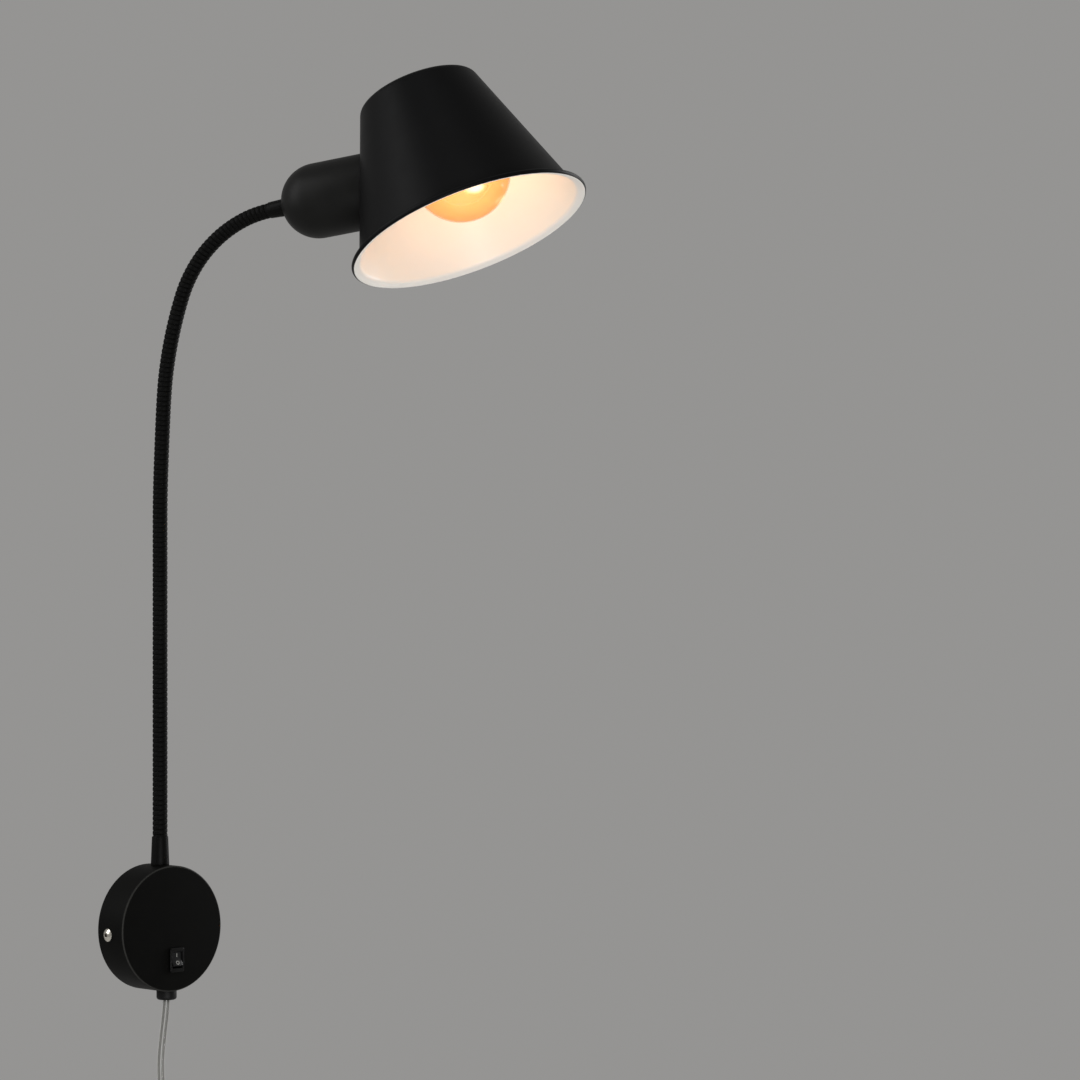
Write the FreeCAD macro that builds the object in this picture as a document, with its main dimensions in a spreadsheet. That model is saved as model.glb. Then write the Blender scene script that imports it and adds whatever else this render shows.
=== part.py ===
import FreeCAD, Part

import math
import operator
import os

import Sketcher

# A wall lamp on one flexible neck. Millimetres and degrees, +Z up, the wall is the plane Y = 0 and
# the lamp stands out of it towards -Y. The origin is the middle of the canopy's open back.

SIZES = {
    # canopy
    "canopy_radius": 49.0,
    "canopy_depth": 31.0,
    "canopy_edge": 1.5,
    "canopy_sheet": 1.2,
    "loose_fit": 0.1,
    # wall bracket and its two side screws
    "bracket_width": 12.0,
    "bracket_sheet": 1.5,
    "bracket_gap": 0.5,
    "tab_length": 18.0,
    "slot_spacing": 60.0,
    "slot_length": 12.0,
    "slot_width": 5.0,
    "side_screw_up": -3.0,
    "side_screw_out": 13.0,
    "side_screw_radius": 2.0,
    "side_screw_length": 7.0,
    "screw_head_radius": 5.0,
    "screw_head_height": 2.4,
    "screw_slot_width": 1.0,
    "screw_slot_depth": 1.3,
    # rocker switch
    "switch_across": 3.5,
    "switch_up": -24.5,
    "bezel_width": 13.5,
    "bezel_height": 19.0,
    "bezel_proud": 2.0,
    "switch_width": 11.8,
    "switch_height": 17.0,
    "switch_depth": 13.0,
    "switch_floor": 1.5,
    "rocker_width": 9.4,
    "rocker_gap": 0.2,
    "rocker_half_height": 5.4,
    "rocker_crown": 3.6,
    "rocker_tilt": 12.0,
    "rocker_pivot_down": 2.5,
    "rocker_pin_radius": 1.0,
    "running_gap": 0.05,
    "blade_length": 6.0,
    "blade_width": 4.8,
    "blade_sheet": 0.8,
    "blade_spacing": 9.0,
    # terminal block and leads
    "block_width": 22.0,
    "block_height": 11.0,
    "block_depth": 11.0,
    "pole_spacing": 7.0,
    "pole_screw_radius": 1.8,
    "pole_screw_length": 4.0,
    "lead_radius": 1.1,
    "lead_end_gap": 0.6,
    # cord gland
    "gland_across": 4.5,
    "gland_out": 18.0,
    "gland_radius": 7.9,
    "gland_length": 7.5,
    "gland_edge": 2.0,
    "gland_thread_radius": 5.5,
    "gland_thread_length": 8.0,
    "gland_nut_height": 3.0,
    "gland_nut_flats": 15.0,
    # collars and nuts
    "thread_radius": 4.9,
    "thread_gap": 0.05,
    "wire_way": 3.2,
    "nut_flats": 14.0,
    "nut_height": 4.0,
    "washer_radius": 8.0,
    "washer_height": 1.6,
    "base_collar_height": 22.0,
    "base_collar_foot": 7.2,
    "base_collar_mouth": 6.25,
    "base_collar_thread": 11.5,
    "neck_seat_depth": 14.0,
    "head_collar_height": 13.0,
    "head_collar_mouth": 6.0,
    "head_collar_foot": 6.95,
    "head_collar_thread": 20.0,
    "head_seat_depth": 6.7,
    "collar_chamfer": 0.5,
    # neck
    "neck_radius": 5.6,
    "neck_wall": 1.9,
    "socket_gap": 0.4,
    "socket_drop": 2.8,
    "neck_plane_turn": -66.0,
    "first_hinge": 90.0,
    "fine_pitch": 22.0,
    "coarse_pitch": 41.3,
    "crest_pitch": 21.55,
    "last_length": 21.5,
    "middle_turn": 2.2,
    "slight_turn": 0.6,
    "easing_turn": 4.05,
    "crest_turn": 12.53,
    "neck_cable_radius": 2.1,
    # head: cup, lampholder, shade
    "cup_radius": 29.0,
    "cup_sheet": 1.0,
    "cup_length": 60.0,
    "holder_radius": 19.5,
    "holder_wall": 2.0,
    "cap_start": -19.0,
    "cap_shoulder": 4.0,
    "cap_end": 22.0,
    "cap_boss_radius": 8.0,
    "holder_floor": 34.0,
    "holder_floor_sheet": 4.0,
    "holder_end": 70.0,
    "shell_radius": 14.1,
    "shell_sheet": 0.5,
    "shell_end": 62.0,
    "contact_radius": 3.5,
    "holder_screw_spacing": 20.0,
    "holder_screw_radius": 2.0,
    "shade_from_cup": 109.8,
    "shade_roll": 6.155,
    "shade_tilt": 16.03,
    "cup_above_rim": 48.75,
    "shade_height": 120.0,
    "shade_top_radius": 45.9,
    "shade_flare_width": 5.1,
    "shade_flare_height": 4.7,
    "shade_rim_radius": 92.0,
    "shade_bead": 1.9,
    "shade_edge": 7.0,
    "shade_sheet": 1.0,
    "ring_wall": 4.4,
    "ring_face": 54.0,
    # bulb
    "bulb_radius": 38.0,
    "bulb_centre": 120.0,
    "bulb_neck_angle": 35.0,
    "bulb_neck_radius": 12.6,
    "bulb_neck_start": 71.0,
    "bulb_neck_curve": 21.7,
    "glass": 1.0,
    "bulb_cap_radius": 13.3,
    "bulb_cap_start": 45.0,
    "bulb_glass_start": 57.0,
    "bulb_cap_end": 69.0,
    "bulb_contact_radius": 4.5,
    "insulator_radius": 9.0,
    "bulb_tip": 42.5,
    "stem_radius": 3.5,
    "stem_end": 101.0,
    "filament_radius": 0.9,
    "filament_spread": 9.0,
    "filament_start": 105.0,
    "filament_end": 141.0,
    "support_radius": 0.35,
    "filament_step": 1.5,
    # cord, its coil and its plug
    "cord_radius": 3.0,
    "coil_middle_radius": 33.0,
    "coil_layers": 3.0,
    "coil_across": 39.0,
    "coil_out": 18.0,
    "coil_up": -167.0,
    "tie_wall": 1.2,
    "tie_gap": 0.6,
    "tie_width": 9.0,
    "plug_width": 35.0,
    "plug_thickness": 13.7,
    "plug_length": 33.0,
    "plug_tail": 4.5,
    "pin_spacing": 18.6,
    "pin_radius": 2.0,
    "pin_length": 19.0,
}

OPERATIONS = {"+": operator.add, "-": operator.sub, "*": operator.mul, "/": operator.truediv}


class Size:
    """A number together with the sheet formula that it comes from."""

    def __init__(self, number, formula):
        self.number = number
        self.formula = formula

    def __add__(self, other):
        return joined(self, "+", other)

    def __sub__(self, other):
        return joined(self, "-", other)

    def __mul__(self, other):
        return joined(self, "*", other)

    def __truediv__(self, other):
        return joined(self, "/", other)

    def __radd__(self, other):
        return joined(other, "+", self)

    def __rsub__(self, other):
        return joined(other, "-", self)

    def __rmul__(self, other):
        return joined(other, "*", self)

    def __neg__(self):
        return joined(0, "-", self)

    def __float__(self):
        return float(self.number)


def number(value):
    return float(value)


def formula(value):
    return value.formula if isinstance(value, Size) else repr(float(value))


def joined(first, sign, second):
    result = OPERATIONS[sign](number(first), number(second))
    return Size(result, "(" + formula(first) + " " + sign + " " + formula(second) + ")")


def root(value):
    return Size(math.sqrt(number(value)), "sqrt(" + formula(value) + ")")


def sine(angle):
    return Size(math.sin(math.radians(number(angle))), "sin(" + formula(angle) + ")")


def cosine(angle):
    return Size(math.cos(math.radians(number(angle))), "cos(" + formula(angle) + ")")


doc = FreeCAD.newDocument("wall_lamp")
sheet = doc.addObject("Spreadsheet::Sheet", "Sizes")
for row, (alias, value) in enumerate(SIZES.items(), start=1):
    sheet.set("A%d" % row, alias)
    sheet.set("B%d" % row, repr(value))
    sheet.setAlias("B%d" % row, alias)
doc.recompute()


class Sheet:
    """Every size by its name, such as v.canopy_radius."""


v = Sheet()
for alias, value in SIZES.items():
    setattr(v, alias, Size(value, "Sizes." + alias))

nodes = {}
X_AXIS = FreeCAD.Vector(1, 0, 0)
Y_AXIS = FreeCAD.Vector(0, 1, 0)
Z_AXIS = FreeCAD.Vector(0, 0, 1)
UPRIGHT = FreeCAD.Rotation()
ALONG_X = FreeCAD.Rotation(Y_AXIS, 90)
ALONG_Y = FreeCAD.Rotation(X_AXIS, -90)


# ---------------------------------------------------------------- making shapes


def bind(thing, path, value):
    """Set one property from a size, a formula of sizes or a plain number."""
    thing.setExpression(path, formula(value))


def put(thing, at, rotation=UPRIGHT):
    thing.Placement = FreeCAD.Placement(FreeCAD.Vector(*(number(a) for a in at)), rotation)
    for axis, value in zip("xyz", at):
        if isinstance(value, Size):
            bind(thing, "Placement.Base." + axis, value)
    return thing


def place(x=0, y=0, z=0, rotation=UPRIGHT):
    return FreeCAD.Placement(FreeCAD.Vector(number(x), number(y), number(z)), rotation)


def box(name, length, width, height, centre, bottom):
    """A block centred on (x, y) that stands on the height given as bottom."""
    block = doc.addObject("Part::Box", name)
    bind(block, "Length", length)
    bind(block, "Width", width)
    bind(block, "Height", height)
    return put(block, (centre[0] - length / 2, centre[1] - width / 2, bottom))


def rod(name, radius, length, at, rotation=UPRIGHT):
    cylinder = doc.addObject("Part::Cylinder", name)
    bind(cylinder, "Radius", radius)
    bind(cylinder, "Height", length)
    return put(cylinder, at, rotation)


def ball(name, radius, at=(0, 0, 0)):
    sphere = doc.addObject("Part::Sphere", name)
    bind(sphere, "Radius", radius)
    return put(sphere, at)


def hexagon(name, flats, height, at, rotation=UPRIGHT):
    prism = doc.addObject("Part::Prism", name)
    prism.Polygon = 6
    bind(prism, "Circumradius", flats / math.sqrt(3))
    bind(prism, "Height", height)
    return put(prism, at, rotation)


def fused(name, *parts):
    union = doc.addObject("Part::MultiFuse", name)
    union.Shapes = list(parts)
    return union


def cut(name, base, *tools):
    difference = doc.addObject("Part::Cut", name)
    difference.Base = base
    difference.Tool = tools[0] if len(tools) == 1 else fused(name + "_tools", *tools)
    return difference


def kept_inside(name, base, tool):
    common = doc.addObject("Part::Common", name)
    common.Base = base
    common.Tool = tool
    return common


def arc_centre(start, end, radius):
    """Centre of the short arc; a positive radius has it on the left of the way from start to end."""
    across = end[0] - start[0]
    up = end[1] - start[1]
    chord = math.hypot(across, up)
    rise = math.sqrt(max(radius * radius - chord * chord / 4, 0)) * math.copysign(1, radius)
    return ((start[0] + end[0]) / 2 - up / chord * rise, (start[1] + end[1]) / 2 + across / chord * rise)


def short_arc(start, end, radius):
    """The arc's geometry and which of its ends is the start."""
    centre = arc_centre(start, end, radius)
    circle = Part.Circle(FreeCAD.Vector(centre[0], centre[1], 0), Z_AXIS, abs(radius))
    first, last = (start, end) if radius > 0 else (end, start)
    angles = [math.atan2(point[1] - centre[1], point[0] - centre[0]) for point in (first, last)]
    arc = Part.ArcOfCircle(circle, angles[0], angles[1] + (2 * math.pi if angles[1] < angles[0] else 0))
    return arc, (1 if radius > 0 else 2)


def hold_coordinate(sketch, index, end, kind, axis, value):
    """Tie one coordinate of a corner to its size, or to the sketch's own axis when it is zero."""
    if not isinstance(value, Size) and value == 0:
        sketch.addConstraint(Sketcher.Constraint("PointOnObject", index, end, axis))
        return
    made = sketch.addConstraint(Sketcher.Constraint(kind, -1, 1, index, end, number(value)))
    sketch.setExpression("Constraints[%d]" % made, formula(value))


def outline(body, name, plane, corners):
    """A closed sketch through corners (across, up); a third value bends the way to the next corner."""
    sketch = body.newObject("Sketcher::SketchObject", name)
    origin_planes = [part for part in body.Origin.OriginFeatures if part.Role == plane]
    sketch.AttachmentSupport = [(origin_planes[0], "")]
    sketch.MapMode = "FlatFace"
    count = len(corners)
    points = [(number(corner[0]), number(corner[1])) for corner in corners]
    starts = []
    for index, corner in enumerate(corners):
        start, end = points[index], points[(index + 1) % count]
        if len(corner) == 3:
            geometry, first = short_arc(start, end, number(corner[2]))
        else:
            geometry = Part.LineSegment(FreeCAD.Vector(*start, 0), FreeCAD.Vector(*end, 0))
            first = 1
        sketch.addGeometry(geometry, False)
        starts.append(first)
    for index, corner in enumerate(corners):
        before = (index - 1) % count
        sketch.addConstraint(
            Sketcher.Constraint("Coincident", before, 3 - starts[before], index, starts[index])
        )
        hold_coordinate(sketch, index, starts[index], "DistanceX", -2, corner[0])
        hold_coordinate(sketch, index, starts[index], "DistanceY", -1, corner[1])
        if len(corner) == 3:
            size = corner[2] if number(corner[2]) > 0 else -corner[2]
            made = sketch.addConstraint(Sketcher.Constraint("Radius", index, number(size)))
            sketch.setExpression("Constraints[%d]" % made, formula(size))
    return sketch


def new_body(name):
    return doc.addObject("PartDesign::Body", name)


def turned(name, corners):
    """A body turned about its own Z from a profile of (radius, height) corners."""
    body = new_body(name)
    sketch = outline(body, name + "_profile", "XZ_Plane", corners)
    turning = body.newObject("PartDesign::Revolution", name + "_turning")
    turning.Profile = sketch
    turning.ReferenceAxis = (sketch, ["V_Axis"])
    turning.Angle = 360
    return body


def padded(name, plane, corners, thickness):
    """A body padded to both sides of one of its planes."""
    body = new_body(name)
    sketch = outline(body, name + "_profile", plane, corners)
    pad = body.newObject("PartDesign::Pad", name + "_pad")
    pad.Profile = sketch
    pad.SideType = "Symmetric"
    bind(pad, "Length", thickness)
    return body


def rectangle(half_width, half_height):
    return [
        (-half_width, -half_height),
        (half_width, -half_height),
        (half_width, half_height),
        (-half_width, half_height),
    ]


def sleeve(name, inner, outer, bottom, top):
    return turned(name, [(inner, bottom), (outer, bottom), (outer, top), (inner, top)])


def disc(name, radius, bottom, top):
    return turned(name, [(0, bottom), (radius, bottom), (radius, top), (0, top)])


def rounded(body, radius, chosen):
    """Fillet the edges of the body's last feature that the test picks."""
    doc.recompute()
    feature = body.Tip
    picked = [
        "Edge%d" % (index + 1) for index, edge in enumerate(feature.Shape.Edges) if chosen(edge)
    ]
    fillet = body.newObject("PartDesign::Fillet", body.Name + "_rounding_%d" % len(body.Group))
    fillet.Base = (feature, picked)
    bind(fillet, "Radius", radius)
    return body


def ring_edge(radius, height):
    """A test for the round edge of that radius at that height."""

    def chosen(edge):
        curve = edge.Curve
        if not isinstance(curve, Part.Circle):
            return False
        return abs(curve.Radius - number(radius)) < 0.01 and abs(curve.Center.z - number(height)) < 0.01

    return chosen


def hollowed(name, solid, wall, bottom):
    """A shell of even wall thickness, open at the flat face at that height."""
    doc.recompute()
    faces = [
        "Face%d" % (index + 1)
        for index, face in enumerate(solid.Shape.Faces)
        if isinstance(face.Surface, Part.Plane) and abs(face.CenterOfMass.z - number(bottom)) < 0.01
    ]
    shell = doc.addObject("Part::Thickness", name)
    shell.Faces = (solid, faces)
    shell.Join = 2
    bind(shell, "Value", -wall)
    return shell


def route(points):
    """A wire of straight runs with the largest tangent arc at each corner, and the arcs' radii."""
    points = [FreeCAD.Vector(*(number(value) for value in point)) for point in points]
    edges = []
    radii = []
    here = points[0]
    for before, corner, after in zip(points, points[1:], points[2:]):
        incoming = (corner - before).normalize()
        outgoing = (after - corner).normalize()
        turn = incoming.getAngle(outgoing)
        reach = 0.45 * min((corner - before).Length, (after - corner).Length)
        radii.append(reach / math.tan(turn / 2))
        arc_start = corner - incoming * reach
        arc_end = corner + outgoing * reach
        inward = (outgoing - incoming).normalize()
        middle = corner + inward * (radii[-1] / math.cos(turn / 2) - radii[-1])
        edges.append(Part.LineSegment(here, arc_start).toShape())
        edges.append(Part.Arc(arc_start, middle, arc_end).toShape())
        here = arc_end
    edges.append(Part.LineSegment(here, points[-1]).toShape())
    return Part.Wire(edges), radii


def tube(points, radius):
    """A round solid along a route, checked against its section times its length."""
    path, radii = route(points)
    start = path.Edges[0].valueAt(path.Edges[0].FirstParameter)
    tangent = path.Edges[0].tangentAt(path.Edges[0].FirstParameter)
    section = Part.Wire([Part.makeCircle(number(radius), start, tangent)])
    solid = path.makePipeShell([section], True, False)
    expected = math.pi * number(radius) ** 2 * path.Length
    if abs(solid.Volume - expected) > 0.01 * expected:
        raise ValueError("a tube's volume is not its section times its length")
    return solid, radii


def shaped(name, shape):
    """A plain feature for what neither a body nor a primitive fits."""
    feature = doc.addObject("Part::Feature", name)
    feature.Shape = shape
    return feature


def copies(name, master, placements):
    """Identical small pieces in one node."""
    doc.recompute()
    solids = []
    for placement in placements:
        solid = master.Shape.copy()
        solid.Placement = placement.multiply(solid.Placement)
        solids.append(solid)
    return shaped(name, Part.makeCompound(solids))


def node(label, thing, placement=None):
    """Name a finished piece and put it in the lamp."""
    thing.Label = label
    if placement is not None:
        thing.Placement = placement.multiply(thing.Placement)
    nodes[label] = thing
    return thing


# ---------------------------------------------------------------- frames of the lamp

# the canopy's own frame: X right, Y up the wall, Z out of the wall
WALL = place(rotation=FreeCAD.Rotation(X_AXIS, 90))
# the collar stands on the canopy's top, half way out
COLLAR = place(y=-v.canopy_depth / 2)
SWITCH = WALL.multiply(place(v.switch_across, v.switch_up, v.canopy_depth))

HINGE_LEGS = (
    [v.first_hinge] + [v.fine_pitch] * 7 + [v.coarse_pitch] * 3 + [v.crest_pitch] * 8
)
HINGE_TURNS = [0] * 8 + [v.middle_turn, v.slight_turn] + [v.easing_turn] * 4 + [v.crest_turn] * 5


def neck_frames():
    """The place of every hinge of the neck, and of the dome's pole at its end."""
    reach, height, heading = 0.0, number(v.canopy_radius) + 2.0, 0.0
    frames = []
    turns = HINGE_TURNS + [0]
    for leg, turn in zip(HINGE_LEGS + [v.last_length], turns):
        reach += number(leg) * math.sin(math.radians(heading))
        height += number(leg) * math.cos(math.radians(heading))
        heading += number(turn)
        frames.append((reach, height, heading))
    return [neck_place(*frame) for frame in frames]


def neck_place(reach, height, heading):
    plane = number(v.neck_plane_turn)
    base = FreeCAD.Vector(
        reach * math.cos(math.radians(plane)),
        reach * math.sin(math.radians(plane)) - number(v.canopy_depth) / 2,
        height,
    )
    return FreeCAD.Placement(base, FreeCAD.Rotation(plane, heading, 0))


HINGES = neck_frames()
POLE = HINGES.pop()
HEAD = POLE.multiply(place(z=v.cup_radius, rotation=FreeCAD.Rotation(-number(v.shade_roll), 0, 0)))
# the shade's axis crosses the cup's and leans from it by the tilt
LEAN = math.radians(number(v.shade_tilt))
SHADE_UP = FreeCAD.Vector(-math.cos(LEAN), 0, -math.sin(LEAN))
SHADE_IN_HEAD = FreeCAD.Placement(
    FreeCAD.Vector(0, 0, number(v.shade_from_cup)) - SHADE_UP * number(v.cup_above_rim),
    FreeCAD.Rotation(SHADE_UP.cross(Y_AXIS), -Y_AXIS, SHADE_UP, "ZXY"),
)
SHADE = HEAD.multiply(SHADE_IN_HEAD)


# ---------------------------------------------------------------- canopy and what is in it


def make_canopy():
    r, d, sheet_wall = v.canopy_radius, v.canopy_depth, v.canopy_sheet
    cup = turned(
        "canopy_cup",
        [
            (r - sheet_wall, 0),
            (r, 0),
            (r, d - v.canopy_edge, v.canopy_edge),
            (r - v.canopy_edge, d),
            (0, d),
            (0, d - sheet_wall),
            (r - sheet_wall, d - sheet_wall),
        ],
    )
    stub_hole = rod(
        "stub_hole", v.thread_radius + v.loose_fit, 10, (0, r - 5, d / 2), ALONG_Y
    )
    gland_hole = rod(
        "gland_hole",
        v.gland_thread_radius + v.loose_fit,
        10,
        (v.gland_across, -r - 2, v.gland_out),
        ALONG_Y,
    )
    screw_holes = rod(
        "screw_holes",
        v.side_screw_radius + v.loose_fit,
        r * 2 + 4,
        (-r - 2, v.side_screw_up, v.side_screw_out),
        ALONG_X,
    )
    switch_hole = box(
        "switch_hole",
        v.switch_width + v.loose_fit * 2,
        v.switch_height + v.loose_fit * 2,
        sheet_wall * 3,
        (v.switch_across, v.switch_up),
        d - sheet_wall * 2,
    )
    shell = cut("canopy_drilled", cup, stub_hole, gland_hole, screw_holes, switch_hole)
    node("canopy_shell", shell, WALL)


def make_bracket():
    strap = v.bracket_sheet
    inner = v.canopy_radius - v.canopy_sheet
    corner = v.bracket_width / 2 - v.side_screw_up
    # the tabs' lower corners come nearest to the round wall
    reach = root(inner * inner - corner * corner) - v.bracket_gap
    bent = padded(
        "bracket_bent",
        "XZ_Plane",
        [
            (-reach, 0),
            (reach, 0),
            (reach, v.tab_length),
            (reach - strap, v.tab_length),
            (reach - strap, strap),
            (strap - reach, strap),
            (strap - reach, v.tab_length),
            (-reach, v.tab_length),
        ],
        v.bracket_width,
    )
    tools = [
        rod(
            "tab_holes",
            v.side_screw_radius + v.thread_gap,
            reach * 2 + 2,
            (-reach - 1, 0, v.side_screw_out),
            ALONG_X,
        )
    ]
    straight = v.slot_length - v.slot_width
    for side in (-1, 1):
        middle = v.slot_spacing * (side * 0.5)
        tools.append(
            box("slot_middle_%d" % side, straight, v.slot_width, strap + 2, (middle, 0), -1)
        )
        for end in (-0.5, 0.5):
            tools.append(
                rod("slot_end", v.slot_width / 2, strap + 2, (middle + straight * end, 0, -1))
            )
    bracket = cut("bracket_drilled", bent, *tools)
    node("wall_bracket", bracket, WALL.multiply(place(y=v.side_screw_up)))


def make_side_screws():
    head, height = v.screw_head_radius, v.screw_head_height
    rim = 0.6
    dome = height - rim
    crown = (head * head + dome * dome) / (dome * 2)
    blank = turned(
        "screw_blank",
        [
            (0, -v.side_screw_length),
            (v.side_screw_radius, -v.side_screw_length),
            (v.side_screw_radius, 0),
            (head, 0),
            (head, rim, crown),
            (0, height),
        ],
    )
    slots = [
        box("cross_a", head, v.screw_slot_width, height, (0, 0), height - v.screw_slot_depth),
        box("cross_b", v.screw_slot_width, head, height, (0, 0), height - v.screw_slot_depth),
    ]
    screw = cut("screw_master", blank, *slots)
    out = v.canopy_radius + v.thread_gap
    right = place(out, v.side_screw_up, v.side_screw_out, ALONG_X)
    left = place(-out, v.side_screw_up, v.side_screw_out, FreeCAD.Rotation(Y_AXIS, -90))
    node("side_screws", copies("screw_pair", screw, [right, left]), WALL)


def make_switch():
    window = (v.rocker_width + v.rocker_gap * 2, v.rocker_half_height * 2 + v.bezel_proud)
    bezel = padded("bezel", "XY_Plane", rectangle(v.bezel_width / 2, v.bezel_height / 2), v.bezel_proud)
    rounded(bezel, 0.6, lambda edge: edge.CenterOfMass.z > 0.01)
    put(bezel, (0, 0, v.bezel_proud / 2))
    barrel = box("barrel", v.switch_width, v.switch_height, v.switch_depth + 0.5, (0, 0), -v.switch_depth)
    cavity = box(
        "switch_cavity",
        window[0],
        window[1],
        v.switch_depth + v.bezel_proud,
        (0, 0),
        v.switch_floor - v.switch_depth,
    )
    pin_hole = rod(
        "pin_hole",
        v.rocker_pin_radius + v.running_gap,
        v.rocker_width + 2,
        (-v.rocker_width / 2 - 1, 0, -v.rocker_pivot_down),
        ALONG_X,
    )
    housing = cut("housing_cut", fused("housing_block", bezel, barrel), cavity, pin_hole)
    node("switch_housing", housing, SWITCH)

    half, crown, tilt = v.rocker_half_height, v.rocker_crown, v.rocker_tilt
    end_rise = crown + half * sine(tilt)
    cap = padded(
        "rocker_cap",
        "YZ_Plane",
        [
            (0, crown),
            (-half, end_rise),
            (-half - 0.5, 1.5),
            (-half - 0.5, -0.5),
            (-half / 2, -2),
            (half / 2, -2),
            (half + 0.5, -0.5),
            (half + 0.5, 1.5),
            (half, end_rise),
        ],
        v.rocker_width,
    )
    pins = rod(
        "rocker_pins",
        v.rocker_pin_radius,
        v.rocker_width + 1.6,
        (-v.rocker_width / 2 - 0.8, 0, 0),
        ALONG_X,
    )
    rocker = fused("rocker_whole", cap, pins)
    tilted = FreeCAD.Rotation(X_AXIS, -number(tilt))
    node("switch_rocker", rocker, SWITCH.multiply(place(z=-v.rocker_pivot_down, rotation=tilted)))

    blade = box("blade", v.blade_width, v.blade_sheet, v.blade_length, (0, 0), 0)
    bottom = -v.switch_depth - v.blade_length
    pair = [place(0, v.blade_spacing * side, bottom) for side in (-0.5, 0.5)]
    node("switch_contacts", copies("blades", blade, pair), SWITCH)


def make_terminal_block():
    bottom = v.bracket_sheet
    block = box("block", v.block_width, v.block_height, v.block_depth, (0, v.side_screw_up), bottom)
    wells = []
    top = bottom + v.block_depth
    for pole in (-1, 0, 1):
        across = v.pole_spacing * pole
        wells.append(
            rod(
                "well",
                v.pole_screw_radius + v.thread_gap,
                v.pole_screw_length + 2,
                (across, v.side_screw_up, top - v.pole_screw_length - 1),
            )
        )
        wells.append(
            rod(
                "wire_hole",
                v.lead_radius + 0.3,
                v.block_height + 2,
                (across, v.side_screw_up - v.block_height / 2 - 1, bottom + 3),
                ALONG_Y,
            )
        )
    node("terminal_block", cut("block_drilled", block, *wells), WALL)

    shank = rod("pole_screw", v.pole_screw_radius, v.pole_screw_length, (0, 0, 0))
    slot = box("pole_slot", v.pole_screw_radius * 3, 0.7, 2, (0, 0), v.pole_screw_length - 0.9)
    screw = cut("pole_screw_slotted", shank, slot)
    spots = [
        place(v.pole_spacing * pole, v.side_screw_up, top - v.pole_screw_length - 1) for pole in (-1, 0, 1)
    ]
    node("terminal_screws", copies("pole_screws", screw, spots), WALL)


def make_gland():
    r, edge = v.gland_radius, v.gland_edge
    # own frame: Z runs down, out of the canopy, from its round side
    start = 2.0
    body = turned(
        "gland_body",
        [
            (v.cord_radius + v.thread_gap, -start),
            (r, -start),
            (r, v.gland_length - edge, edge),
            (r - edge, v.gland_length),
            (v.cord_radius + v.thread_gap, v.gland_length),
        ],
    )
    seat = rod(
        "gland_seat",
        v.canopy_radius,
        v.canopy_depth * 2,
        (-v.gland_across, -v.canopy_depth, -v.canopy_radius),
        ALONG_Y,
    )
    stub = sleeve(
        "gland_stub",
        v.cord_radius + v.thread_gap,
        v.gland_thread_radius,
        -v.gland_thread_length,
        0.5,
    )
    gland = fused("gland_whole", cut("gland_saddle", body, seat), stub)
    down = place(
        v.gland_across,
        -v.canopy_radius,
        v.gland_out,
        FreeCAD.Rotation(X_AXIS, 90),
    )
    node("cord_gland", gland, WALL.multiply(down))
    nut = cut(
        "gland_nut_bored",
        hexagon("gland_hexagon", v.gland_nut_flats, v.gland_nut_height, (0, 0, 0)),
        rod("gland_bore", v.gland_thread_radius + v.thread_gap, v.gland_nut_height + 2, (0, 0, -1)),
    )
    # the nut's lower corners touch the round wall
    corner = v.gland_nut_flats / math.sqrt(3) + v.gland_across
    inner = v.canopy_radius - v.canopy_sheet
    sag = v.canopy_radius - root(inner * inner - corner * corner)
    lift = place(z=-sag - v.gland_nut_height - v.thread_gap)
    node("gland_nut", nut, WALL.multiply(down).multiply(lift))


def make_base_collar():
    r = v.canopy_radius
    mouth, foot = v.base_collar_mouth, v.base_collar_foot
    top = r + v.base_collar_height
    seat = top - v.neck_seat_depth
    body = turned(
        "collar_body",
        [
            (v.wire_way, r - 2),
            (foot, r - 2),
            (foot, r),
            (mouth, top),
            (v.neck_radius + v.running_gap, top),
            (v.neck_radius + v.running_gap, seat),
            (v.wire_way, seat),
        ],
    )
    drum = rod("canopy_drum", r, v.canopy_depth * 2, (0, -v.canopy_depth, 0), ALONG_Y)
    stub = sleeve(
        "collar_stub", v.wire_way, v.thread_radius, r - v.base_collar_thread, r + 1
    )
    collar = fused("collar_whole", cut("collar_saddle", body, drum), stub)
    node("base_collar", collar, COLLAR)

    inner = r - v.canopy_sheet
    plate = sleeve(
        "washer_plate",
        v.thread_radius + v.loose_fit,
        v.washer_radius,
        washer_bottom(),
        inner + 1,
    )
    inside = rod("canopy_inside", inner, v.canopy_depth * 2, (0, -v.canopy_depth, 0), ALONG_Y)
    node("base_washer", kept_inside("washer_saddle", plate, inside), COLLAR)
    nut = cut(
        "base_nut_bored",
        hexagon("base_hexagon", v.nut_flats, v.nut_height, (0, 0, washer_bottom() - v.nut_height)),
        rod(
            "base_bore",
            v.thread_radius + v.thread_gap,
            v.nut_height + 2,
            (0, 0, washer_bottom() - v.nut_height - 1),
        ),
    )
    node("base_nut", nut, COLLAR)


def washer_bottom():
    inner = v.canopy_radius - v.canopy_sheet
    return root(inner * inner - v.washer_radius * v.washer_radius) - v.washer_height


# ---------------------------------------------------------------- neck


def neck_segment(name, length):
    """A hollow link: a ball at its foot, and a socket at its top that takes the next one's ball."""
    r = v.neck_radius
    bore = r - v.neck_wall
    socket = r + v.socket_gap
    return turned(
        name,
        [
            (bore, -root(r * r - bore * bore), r),
            (r, 0),
            (r, length - v.socket_drop),
            (root(socket * socket - v.socket_drop * v.socket_drop), length - v.socket_drop, -socket),
            (bore, length - root(socket * socket - bore * bore)),
        ],
    )


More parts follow.
